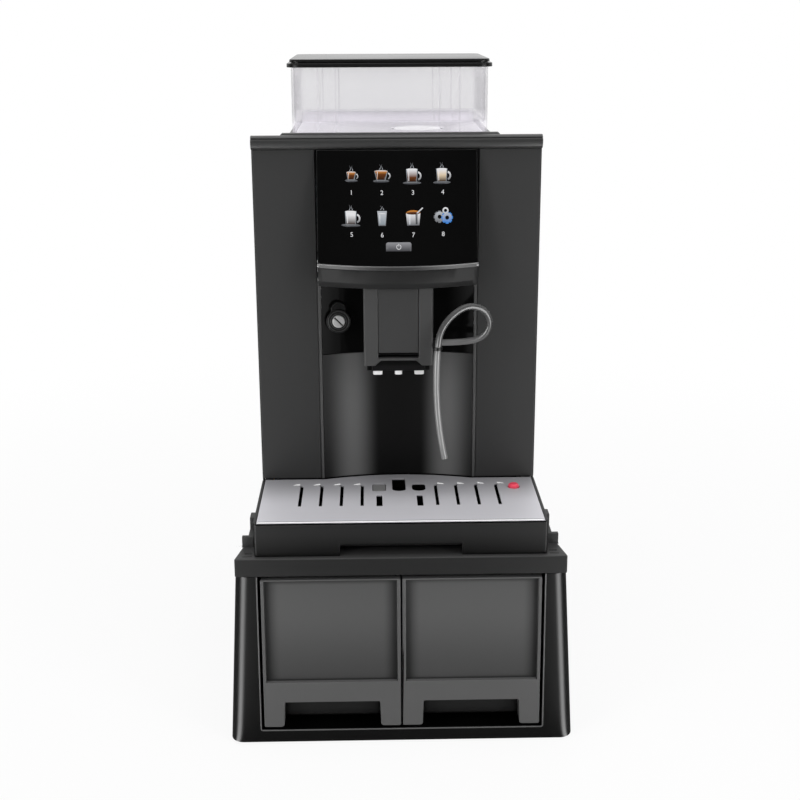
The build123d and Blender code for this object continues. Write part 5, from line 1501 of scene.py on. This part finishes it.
class Shade(Enum):
    """Colours of the display's pictures."""

    WHITE = paint(236, 236, 238)
    PALE = paint(188, 192, 198)
    GREY = paint(120, 122, 126)
    DARK = paint(52, 54, 58)
    CREAM = paint(226, 206, 176)
    CREMA = paint(206, 132, 52)
    BROWN = paint(104, 58, 26)
    ROAST = paint(48, 26, 14)
    GLASS = paint(150, 160, 168)
    BLUE = paint(58, 132, 214)
    KEY_TOP = paint(148, 148, 152)
    KEY_FOOT = paint(70, 70, 74)


@dataclass(frozen=True)
class Patch:
    """A flat coloured area of a picture, as convex faces.

    Attributes:
        faces: Its faces, as points across and up, in millimetres.
        top: Its colour at the top.
        foot: Its colour at the foot.
        layer: How many other areas it lies over.
    """

    faces: tuple[tuple[Flat, ...], ...]
    top: Shade
    foot: Shade
    layer: int = 0


def taper(x: float, low: float, high: float, foot: float, top: float) -> tuple[Flat, ...]:
    """A face with a level foot and top of half widths."""
    return ((x - foot, low), (x + foot, low), (x + top, high), (x - top, high))


def oval(x: float, z: float, across: float, up: float, steps: int = 20) -> tuple[Flat, ...]:
    """An oval face."""
    return tuple((x + across * c, z + up * s) for c, s in around(steps))


def hoop(x: float, z: float, outer: float, inner: float, start: float = 0.0, end: float = 360.0,
         stretch: float = 1.0, steps: int = 20) -> tuple[tuple[Flat, ...], ...]:
    """Faces of a ring, or of a part of one, between two angles."""
    angles = [math.radians(start + (end - start) * i / steps) for i in range(steps + 1)]
    faces = []
    for one, two in zip(angles, angles[1:]):
        faces.append(tuple((x + radius * stretch * math.cos(angle), z + radius * math.sin(angle))
                           for radius, angle in ((inner, one), (outer, one), (outer, two), (inner, two))))
    return tuple(faces)


def wisps(x: float, low: float, high: float) -> Patch:
    """Two curling strokes of steam."""
    apart, curl, width, steps = 1.05, 0.55, 0.32, 8
    faces = []
    for side in (-1.0, 1.0):
        marks = []
        for share in (i / steps for i in range(steps + 1)):
            middle = x + side * apart + curl * math.sin(share * math.tau * 0.9 + side)
            marks.append((middle, low + (high - low) * share, width * (1.1 - share)))
        for (x_one, z_one, half_one), (x_two, z_two, half_two) in zip(marks, marks[1:]):
            faces.append(((x_one - half_one, z_one), (x_one + half_one, z_one),
                          (x_two + half_two, z_two), (x_two - half_two, z_two)))
    return Patch(tuple(faces), Shade.GREY, Shade.PALE)


def gear(x: float, z: float, radius: float, shade: Shade, layer: int) -> list[Patch]:
    """A gear wheel with eight teeth and an open middle."""
    tooth = ((0.8, -0.3), (0.8, 0.3), (1.0, 0.22), (1.0, -0.22))
    teeth = tuple(tuple((x + radius * (out * c - half * s), z + radius * (out * s + half * c))
                        for out, half in tooth) for c, s in around(8))
    return [Patch(teeth, shade, shade, layer),
            Patch(hoop(x, z, radius * 0.84, radius * 0.34, steps=24), Shade.PALE, shade, layer + 1)]


@dataclass
class Menu:
    """Generic pictures and plain numbers on the display, and its power key.

    Attributes:
        columns: Places of the pictures across, in millimetres.
        rows: Heights of the pictures.
        number_drop: How far a number stands under its picture.
        number_size: Size of a number.
        key: Left, right, low and high edge of the power key.
        key_corner: Size of its upper corners.
        key_mark: Middle of the mark on the key.
        slice_width: Width of the strips that follow the glass.
        lift: How far the lowest layer stands out of the glass.
        layer_step: How far each further layer stands out over that.
        skin: Thickness of the pictures.
        in_front: A place along Y that lies in front of the glass.
        finish: Finish of the pictures.
    """

    columns: tuple[float, ...] = (-47.5, -16.1, 15.9, 46.8)
    rows: tuple[float, ...] = (582.7, 541.5)
    number_drop: float = 18.9
    number_size: float = 6.4
    key: tuple[float, float, float, float] = (-12.4, 13.7, 508.9, 517.6)
    key_corner: float = 1.8
    key_mark: Flat = (0.7, 513.05)
    slice_width: float = 2.0
    lift: float = 0.05
    layer_step: float = 0.03
    skin: float = 0.12
    in_front: float = -400.0
    finish: Picture = Picture("display light")

    def build(self) -> None:
        """Draws the pictures on the glass."""
        patches = []
        for i, picture in enumerate(self._pictures()):
            x, z = self.columns[i % 4], self.rows[i // 4]
            patches += [self._moved(patch, x, z) for patch in picture]
            patches.append(self._number(str(i + 1), x, z - self.number_drop))
        patches += self._power_key()
        dressed(self._drawn(patches), self.finish, "machine", "display_dark")

    @staticmethod
    def _moved(patch: Patch, x: float, z: float) -> Patch:
        """A patch, moved across and up."""
        faces = tuple(tuple((px + x, pz + z) for px, pz in face) for face in patch.faces)
        return Patch(faces, patch.top, patch.foot, patch.layer)

    @staticmethod
    def _cup(x: float, low: float, high: float, foot: float, top: float, drink: Shade, foam: Shade,
             share: float) -> list[Patch]:
        """A glass cup with a drink and its foam, a handle and steam.

        Args:
            x: Its place across.
            low: Its foot.
            high: Its rim.
            foot: Half width of its foot.
            top: Half width of its rim.
            drink: Colour of the drink.
            foam: Colour over the drink.
            share: How far up the foam starts.

        Returns:
            The patches.
        """
        level = low + 1.2 + (high - low - 1.2) * share
        half = foot + (top - foot) * share
        return [
            Patch((oval(x, low, foot * 1.9, 1.5),), Shade.GREY, Shade.DARK),
            Patch(hoop(x + top - 0.2, (low + high) / 2, (high - low) * 0.33, (high - low) * 0.2,
                       -80, 80, 0.9, 12), Shade.WHITE, Shade.GREY, 1),
            Patch((taper(x, low, high, foot, top),), Shade.GLASS, Shade.GREY, 2),
            Patch((taper(x, low + 1.2, level, foot - 0.7, half - 0.7),), drink, Shade.ROAST, 3),
            Patch((taper(x, level, high - 0.5, half - 0.7, top - 0.7),), foam, drink, 3),
            Patch((oval(x, high - 0.3, top - 0.3, 0.9),), Shade.WHITE, foam, 4),
            Patch((taper(x - top * 0.55, low + 2.0, high - 1.2, 0.3, 0.4),), Shade.WHITE, foam, 5),
            wisps(x, high + 1.2, high + 6.6),
        ]

    def _pictures(self) -> list[list[Patch]]:
        """The eight pictures: six drinks, powder and settings."""
        drinks = [self._cup(*sizes) for sizes in (
            (0, -5.0, 3.4, 3.4, 5.0, Shade.BROWN, Shade.CREMA, 0.55),
            (-0.6, -5.4, 4.6, 4.4, 7.0, Shade.BROWN, Shade.CREMA, 0.62),
            (-0.8, -7.4, 6.2, 5.0, 6.0, Shade.BROWN, Shade.WHITE, 0.34),
            (-0.8, -7.4, 6.2, 4.8, 5.8, Shade.CREAM, Shade.WHITE, 0.5),
            (-0.8, -7.8, 6.0, 5.2, 6.0, Shade.WHITE, Shade.WHITE, 0.7))]
        water = [
            Patch((taper(0, -7.8, 6.6, 3.7, 4.9),), Shade.PALE, Shade.GREY),
            Patch((taper(0, -6.8, 3.8, 3.1, 4.1),), Shade.PALE, Shade.GLASS, 1),
            Patch((oval(0, 3.8, 4.1, 0.8),), Shade.WHITE, Shade.PALE, 2),
            Patch((taper(-2.3, -5.6, 2.6, 0.35, 0.45),), Shade.WHITE, Shade.PALE, 3),
            wisps(0, 7.6, 12.0),
        ]
        pot = [
            Patch((oval(0, 4.2, 7.4, 3.0),), Shade.CREMA, Shade.BROWN),
            Patch((taper(0, -7.6, 4.0, 6.2, 7.4),), Shade.WHITE, Shade.GREY, 1),
            Patch((taper(-3.6, -6.6, 3.0, 0.8, 1.0),), Shade.WHITE, Shade.PALE, 2),
            Patch((taper(3.4, -6.6, 3.0, 0.9, 1.1),), Shade.GREY, Shade.DARK, 2),
            Patch((oval(0, 4.2, 6.9, 1.3),), Shade.BROWN, Shade.ROAST, 3),
            Patch((((3.2, 4.4), (4.6, 3.8), (10.3, 9.0), (9.5, 9.8)),), Shade.WHITE, Shade.PALE, 4),
        ]
        settings = (gear(-3.6, 0.2, 6.0, Shade.GREY, 0) + gear(4.2, -0.9, 6.0, Shade.BLUE, 2)
                    + [Patch(hoop(2.6, 6.2, 3.2, 1.7), Shade.WHITE, Shade.PALE, 5)])
        return [*drinks, water, pot, settings]

    def _number(self, digits: str, x: float, z: float) -> Patch:
        """A plain number as a patch, made a mesh before it is placed."""
        data = bpy.data.curves.new("number", "FONT")
        data.body = digits
        data.size = self.number_size
        data.align_x = "CENTER"
        text = made_object("number", data)
        mesh = bpy.data.meshes.new_from_object(text.evaluated_get(bpy.context.evaluated_depsgraph_get()))
        bpy.data.objects.remove(text)
        shape = bmesh.new()
        shape.from_mesh(mesh)
        bmesh.ops.triangulate(shape, faces=shape.faces)
        faces = tuple(tuple((vert.co.x + x, vert.co.y + z) for vert in face.verts) for face in shape.faces)
        shape.free()
        return Patch(faces, Shade.WHITE, Shade.WHITE)

    def _power_key(self) -> list[Patch]:
        """The grey key with an open ring and a bar."""
        left, right, low, high = self.key
        all_off, part_off = self.key_corner, self.key_corner / 3
        key = ((left, low), (right, low), (right, high - all_off), (right - part_off, high - part_off),
               (right - all_off, high), (left + all_off, high), (left + part_off, high - part_off),
               (left, high - all_off))
        x, z = self.key_mark
        return [Patch((key,), Shade.KEY_TOP, Shade.KEY_FOOT),
                Patch(hoop(x, z, 2.5, 1.95, 118, 422), Shade.WHITE, Shade.WHITE, 1),
                Patch((taper(x, z + 0.7, z + 3.0, 0.28, 0.28),), Shade.WHITE, Shade.WHITE, 1)]

    @staticmethod
    def _clipped(face: Sequence[Flat], limit: float, keep: int) -> list[Flat]:
        """The part of a convex face on one side of an upright line."""
        kept_points = []
        for one, two in zip(face, [*face[1:], face[0]]):
            inside, next_inside = (keep * (point[0] - limit) >= 0 for point in (one, two))
            if inside:
                kept_points.append(one)
            if inside != next_inside:
                share = (limit - one[0]) / (two[0] - one[0])
                kept_points.append((limit, one[1] + (two[1] - one[1]) * share))
        return kept_points

    def _drawn(self, patches: Sequence[Patch]) -> Piece:
        """Lays the patches on the glass in narrow strips, and gives them a little thickness."""
        glass = BVHTree.FromBMesh(merged_copy("screen_glass"))
        shape = bmesh.new()
        tone = shape.loops.layers.float_color.new(self.finish.attribute)
        for patch in patches:
            heights = [z for face in patch.faces for _, z in face]
            low, high = min(heights), max(heights)
            for face in patch.faces:
                first = math.floor(min(x for x, _ in face) / self.slice_width)
                last = math.ceil(max(x for x, _ in face) / self.slice_width)
                for i in range(first, last):
                    part = self._clipped(self._clipped(face, i * self.slice_width, 1),
                                         (i + 1) * self.slice_width, -1)
                    self._face(shape, tone, glass, part, patch, low, high)
        bmesh.ops.remove_doubles(shape, verts=shape.verts, dist=1e-6)
        return worked(from_shape("menu_pictures", shape), "SOLIDIFY", thickness=self.skin * MM, offset=-1.0)

    def _face(self, shape: Shape, tone: bmesh.types.BMLayerItem, glass: BVHTree,
              part: Sequence[Flat], patch: Patch, low: float, high: float) -> None:
        """Adds one strip of a patch on the glass, coloured by its height.

        Args:
            shape: The mesh that grows.
            tone: Its colour layer.
            glass: The glass, to lay it on.
            part: The strip's points.
            patch: The patch.
            low: The patch's foot.
            high: The patch's top.
        """
        outline: list[Flat] = []
        for point in part:
            if all(math.dist(other, point) >= CLOSE for other in (*outline[-1:], *outline[:1])):
                outline.append(point)
        if len(outline) < 3:
            return
        if sum(one[0] * two[1] - two[0] * one[1] for one, two in zip(outline, outline[1:] + outline[:1])) < 0:
            outline.reverse()
        points = []
        for x, z in outline:
            hit, normal, _, _ = glass.ray_cast(metres(x, self.in_front, z), Vector((0.0, 1.0, 0.0)))
            points.append(shape.verts.new(hit + normal * (self.lift + self.layer_step * patch.layer) * MM))
        face = shape.faces.new(points)
        for loop, (_, z) in zip(face.loops, outline):
            share = (z - low) / max(high - low, 1e-6)
            loop[tone] = tuple(a + (b - a) * share for a, b in zip(patch.foot.value, patch.top.value))


@dataclass
class Recess:
    """The wall behind the spout, its edge strips and the lock.

    Attributes:
        lock: Middle of the lock's front, in millimetres.
        lock_rings: Radii of the fine light grey rings on its boss, painted highlights on its edges.
        ring_steps: Points round a ring.
        slot_reach: How far the disc's slot runs from its middle, across and up.
        slot_floor: The line of the dark bead in the disc's slot, painted shade on its floor, along Y.
    """

    lock: Point = (-63.3, -93.45, 426.0)
    lock_rings: tuple[float, ...] = (8.4, 11.0)
    ring_steps: int = 40
    slot_reach: float = 4.3
    slot_floor: float = -94.3
    # painted highlight: the lock's rings are light grey lines on the boss's edges
    ring: Finish = Plastic("lock ring", grey(70), roughness=0.3, specular=0.5)
    liner: Finish = Gloss("gloss liner", grey(10), roughness=0.08, specular=0.035)
    # painted sheen: the splash wall's colour is lighter in a band down each side
    splash: Finish = Satin("satin splash wall", grey(15), sheen=grey(94))
    strip: Finish = Plastic("edge strip", grey(69), roughness=0.4, specular=0.4)
    boss: Finish = Plastic("lock boss", grey(12), roughness=0.3, specular=0.4)
    disc: Finish = Metal("lock disc", grey(196), roughness=0.34, run=Direction.CAST, relief=0.003,
                         metallic=0.35)

    def build(self) -> None:
        """Eases and finishes the recess's pieces."""
        eased("recess_liner", self.liner, "liner_gloss", 0.3)
        eased("splash_back", self.splash, "splash_satin", 0.4)
        eased("edge_strips", self.strip, "strip_grey", 0.3)
        eased("lock_boss", self.boss, "lock_black", segments=3)
        eased("lock_disc", self.disc, "lock_silver", 0.25, reshape=self._slot_way)
        x, y, z = self.lock
        # painted highlights: light grey rings round the boss
        for i, radius in enumerate(self.lock_rings):
            line = [(x + radius * c, y, z + radius * s) for c, s in around(self.ring_steps)]
            Bead(f"lock_ring_{i + 1}", self.ring, "machine", "lock_black").along(line, 0.35, closed=True)
        # painted shade: a dark bead along the floor of the disc's slot
        line = [(x - reach, self.slot_floor, z + reach) for reach in (-self.slot_reach, self.slot_reach)]
        Bead("lock_slot", self.boss, "keylock", "lock_black").along(line, 0.7)

    def _slot_way(self, shape: Shape) -> None:
        """Lets the disc's slot run down to the right at rest."""
        for vert in shape.verts:
            vert.co.x = 2.0 * self.lock[0] * MM - vert.co.x
        bmesh.ops.reverse_faces(shape, faces=shape.faces)


@dataclass
class Spout:
    """The height-adjustable spout with its outlets."""

    shell: Finish = Plastic("spout shell", grey(67), roughness=0.42, specular=0.25, grain=0.7, relief=0.01,
                            cloud=0.04)
    cover: Finish = Plastic("spout cover", grey(57), specular=0.25, grain=0.7, relief=0.01, cloud=0.04)
    block: Finish = Plastic("outlet block", grey(9), roughness=0.3, specular=0.15)
    outlet: Finish = Plastic("outlet tips", grey(236), roughness=0.35, specular=0.5)
    rods: Finish = Metal("guide rods", grey(190), roughness=0.18, run=Direction.ALONG_Z, relief=0.002)

    def build(self) -> None:
        """Eases and finishes the spout's pieces."""
        eased("spout_body", self.shell, "spout_grey", 0.6)
        eased("spout_cover", self.cover, "spout_cover_grey", 0.4)
        eased("nozzle_block", self.block, "nozzle_black")
        eased("outlet_nozzles", self.outlet, "nozzle_white")
        coated("spout_guide", self.rods)


@dataclass
class DripTray:
    """Drip tray, steel plate and float. Its sizes are in millimetres.

    Attributes:
        slots: Places of the plate's long slots from the middle plane.
        slot_half: Half a slot's width.
        slot_rear: Where the slots end at the rear, along Y.
        slot_hook: How far outwards a slot's rear end runs.
        lip_length: Length of the curled lip at a slot's end.
        lip_bend: How far its tip bends forwards.
        lip_radii: Its radius at its tip, and what its root has over that.
        lip_steps: Steps along it.
        windows: Place across, front, rear and the front and rear corners' radius of each window.
        window_half: Half a window's width.
        fillet_depth: How deep the fillets of the windows' corners reach.
        fillet_steps: Steps round one of them.
        edge_ends: Half the length of the bright front edge bead, a painted highlight, its place along Y and
            its drop from the top.
        groove: Where the darker bead behind that edge lies from it, painted shade for a groove there, along Y
            and up.
        pad: Middle of the pad in the left window, half its size and the radius of its corners.
        pad_heights: How far its foot and its top lie under the plate's top.
    """

    slots: tuple[float, ...] = (40.0, 62.0, 84.0, 106.0)
    slot_half: float = 1.7
    slot_rear: float = -110.4
    slot_hook: float = 4.0
    lip_length: float = 7.5
    lip_bend: float = 2.2
    lip_radii: Flat = (0.15, 1.5)
    lip_steps: int = 8
    windows: tuple[tuple[float, float, float, float, float], ...] = (
        (-21.6, -131.5, -108.5, 2.2, 2.2), (0.0, -131.5, -92.5, 5.6, 1.2), (21.6, -131.5, -108.5, 6.2, 6.2))
    window_half: float = 7.35
    fillet_depth: float = 1.1
    fillet_steps: int = 6
    edge_ends: Point = (146.3, -219.4, 0.45)
    groove: Flat = (2.3, 0.05)
    pad: tuple[float, float, float, float, float] = (-21.6, -120.0, 6.9, 9.2, 2.5)
    pad_heights: Flat = (3.0, 0.4)
    # painted shade: the tray's front is darker towards its foot
    tray: Finish = Plastic("tray plastic", grey(37), specular=0.2, grain=0.8, cloud=0.04,
                           painted_shades=(PaintedShadeRamp(loss=0.85, lost=209.0, kept=238.0),))
    # painted shade: the plate is darker towards the rear, under the machine
    steel: Finish = Metal("brushed plate", paint(210, 209, 214), roughness=0.5, relief=0.004, metallic=0.25,
                          streak=0.05, painted_shades=(PaintedShadeRamp(loss=0.46, lost=-92.0, kept=-172.0, axis=1),))
    # painted highlight: the slot lips and the front edge bead are a brighter steel than the plate
    lip: Finish = Metal("bright lip", grey(246), roughness=0.28, relief=0.002, metallic=0.15)
    # the window pad's own grey; on the bead behind the front edge it is painted shade
    grey_pad: Finish = Plastic("window pad", grey(112), roughness=0.5)
    red: Finish = Plastic("float red", paint(226, 70, 92), roughness=0.3, specular=0.5)

    def build(self) -> None:
        """Eases and finishes the tray's pieces, and sets the plate's details."""
        eased("drip_tray", self.tray, "tray_black", 0.6)
        eased("drip_plate", self.steel, "plate_steel", 0.45, segments=3)
        eased("tray_float", self.red, "float_red", 0.3)
        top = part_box("drip_plate")[1][2] / MM
        for name, side in SIDES.items():
            self._slot_lips(name, side, top)
        self._window_corners(top)
        half, y, drop = self.edge_ends
        back, rise = self.groove
        plate = ("plate", "plate_steel")
        # painted highlight: a bright bead along the plate's front edge
        edge = [(side * half, y, top - drop) for side in SIDES.values()]
        Bead("plate_front_edge", self.lip, *plate).along(edge, 0.85)
        # painted shade: a darker bead just behind the bright front edge
        groove = [(x, y + back, z + rise) for x, y, z in edge]
        Bead("plate_groove", self.grey_pad, *plate).along(groove, 0.5)
        low, high = (top - depth for depth in self.pad_heights)
        dressed(slab("window_pad", rounded_outline(*self.pad, 4), low, high, 0.5), self.grey_pad, *plate)

    def _slot_lips(self, name: str, side: float, top: float) -> None:
        """Curled lips at the rear ends of the slots on one side of the plate, in the brighter steel of a
        painted highlight.
        """
        marks = [i / self.lip_steps for i in range(self.lip_steps + 1)]
        tip, more = self.lip_radii
        lip = horn("lip", [(side * self.lip_length * t, -self.lip_bend * t * t, 0.0) for t in marks],
                   [more * (1.0 - t) ** 0.6 + tip for t in marks], 0.7)
        start = metres(side * (self.slots[0] + self.slot_hook - self.slot_half), self.slot_rear + 1.0, top)
        step = metres(side * (self.slots[1] - self.slots[0]), 0.0, 0.0)
        Repeats(f"{name}_slot_lips", self.lip, "plate", "plate_steel").row(lip, len(self.slots), start, step)

    def _window_corners(self, top: float) -> None:
        """The fillets that round the corners of the plate's windows."""
        shape = bmesh.new()
        arc = [math.pi / 2 * i / self.fillet_steps for i in range(self.fillet_steps + 1)]
        for x, front, rear, near, far in self.windows:
            for side in SIDES.values():
                edge = x + side * self.window_half
                for y, way, radius in ((front, 1.0, near), (rear, -1.0, far)):
                    outline = [(edge + side * 0.05, y - way * 0.05)] + [
                        (edge - side * radius * (1.0 - math.cos(angle)),
                         y + way * radius * (1.0 - math.sin(angle))) for angle in arc]
                    low, high = (corners(shape, [(px, py, z) for px, py in outline])
                                 for z in (top - self.fillet_depth, top))
                    walled(shape, low, high)
                    for ring in (low, high):
                        for one, two in zip(ring[1:], ring[2:]):
                            shape.faces.new((ring[0], one, two))
        bmesh.ops.recalc_face_normals(shape, faces=shape.faces)
        dressed(from_shape("window_corners", shape, 30.0), self.steel, "plate", "plate_steel")


@dataclass
class Hopper:
    """Bean hopper, its lid and the grind dial inside.

    Attributes:
        bed: Middle and half the size of the pale bed under its funnel, and the radius of the bed's corners.
        throat: Middle of the grinder's throat.
        throat_half: Radius of the opening round it.
        bed_heights: Foot and top of the bed.
        dial_profile: Radius and height of the dial's rings.
        grips: How many ribs the dial has.
        grip_size: Half a rib's width and depth, and the radius of its corners.
        grip_half: Half a rib's height.
        grip_middle: Height of the ribs' middle.
    """

    bed: tuple[float, float, float, float, float] = (-6.0, 49.5, 102.8, 77.3, 7.0)
    throat: Flat = (26.0, 49.5)
    throat_half: float = 30.2
    bed_heights: Flat = (616.05, 617.3)
    dial_profile: tuple[Flat, ...] = (
        (28.4, 606.1), (28.4, 613.4), (27.8, 615.3), (26.0, 616.9), (22.6, 618.0), (16.0, 618.7),
        (8.0, 619.0), (2.5, 619.1))
    grips: int = 36
    grip_size: Point = (0.5, 0.7, 0.3)
    grip_half: float = 2.4
    grip_middle: float = 608.8
    # painted light: the hopper's low part glows, through the funnel setting
    clear: Finish = ClearPlastic("hopper clear", paint(228, 225, 232), alpha=0.17, edge=0.3,
                                 funnel=((-108.7, 96.7), (-27.7, 126.7), 631.0),
                                 lines=(-83.0, -64.0, 47.0, 69.0))
    # painted light: the bed under the funnel glows as if lit through the hopper
    pale: Finish = Plastic("hopper bed", paint(236, 234, 238), roughness=0.4, specular=0.4, grain=2.0,
                           relief=0.01, cloud=0.03, glow=0.3)
    lid: Finish = Plastic("hopper lid", grey(24), roughness=0.2, grain=1.2, relief=0.003, cloud=0.04)
    # painted light: the dial and its grips glow
    dial: Finish = Plastic("dial white", grey(246), roughness=0.3, specular=0.5, glow=0.62)

    def build(self) -> None:
        """Eases and finishes the hopper's pieces."""
        eased("bean_hopper", self.clear, "hopper_clear", 0.4)
        eased("hopper_lid", self.lid, "lid_black", 0.3)
        hole = rounded_outline(*self.throat, self.throat_half, self.throat_half, self.throat_half - 0.2)
        bed = slab("hopper_bed", rounded_outline(*self.bed), *self.bed_heights, 0.3, hole)
        dressed(bed, self.pale, "machine", "hopper_clear")
        dome = from_shape("grind_dial.dome", lathe(self.dial_profile, (*self.throat, 0.0), 64), 25.0)
        dressed(dome, self.dial, "grind_dial", "dial_white", ["grind_dial"])
        outline = rounded_outline(0.0, 0.0, *self.grip_size, 2)
        grip = slab("grip", outline, -self.grip_half, self.grip_half, 0.2)
        Repeats("dial_grips", self.dial, "grind_dial", "dial_white").ring(
            grip, self.grips, self.dial_profile[0][0] - 0.1, metres(*self.throat, self.grip_middle))


@dataclass
class Works:
    """The grinder, brew group, water circuit and electrics behind the covers."""

    alloy: Finish = Metal("cast alloy", grey(165), roughness=0.45, run=Direction.CAST, relief=0.03)
    steel: Finish = Metal("turned steel", grey(190), roughness=0.24, relief=0.004)
    black: Finish = Plastic("duct black", grey(18))
    brown: Finish = Plastic("cylinder plastic", paint(58, 52, 46), roughness=0.4)
    ivory: Finish = Plastic("piston plastic", paint(205, 200, 188), roughness=0.4)
    clear: Finish = ClearPlastic("tank clear", paint(190, 200, 205), alpha=0.25, edge=0.3)
    brass: Finish = Metal("pump brass", paint(190, 158, 92), roughness=0.3, run=Direction.CAST)
    pipe: Finish = Plastic("white tube", grey(215), roughness=0.3, specular=0.5)
    board: Finish = Plastic("board green", paint(24, 92, 52), roughness=0.35, specular=0.5)
    case: Finish = Metal("supply case", grey(160), roughness=0.38)
    red: Finish = Plastic("rocker red", paint(176, 26, 24), roughness=0.25, specular=0.5)

    def build(self) -> None:
        """Finishes the pieces inside the case and at the back."""
        finishes = {
            "grinder_case": self.alloy, "upper_burr": self.steel, "grinder_rotor": self.steel,
            "powder_duct": self.black, "brew_frame": self.alloy, "brew_cylinder": self.brown,
            "brew_piston": self.ivory, "drive_spindle": self.steel, "brew_motor": self.black,
            "grounds_chute": self.steel, "water_tank": self.clear, "boiler": self.steel,
            "water_pump": self.brass, "water_pipes": self.pipe, "control_board": self.board,
            "power_supply": self.case, "fan_frame": self.black, "fan_rotor": self.black,
            "power_inlet": self.black, "switch_rocker": self.red,
        }
        for node, finish in finishes.items():
            coated(node, finish)


def main() -> None:
    """Builds the studio and dresses the machine."""
    logging.basicConfig(level=logging.INFO, format="%(name)s: %(message)s")
    for assembly in (Studio, MilkHose, Cabinet, Body, Head, Menu, Recess, Spout, DripTray, Hopper, Works):
        assembly().build()
        log.info("%s is built", assembly.__name__)


if __name__ == "__main__":
    main()
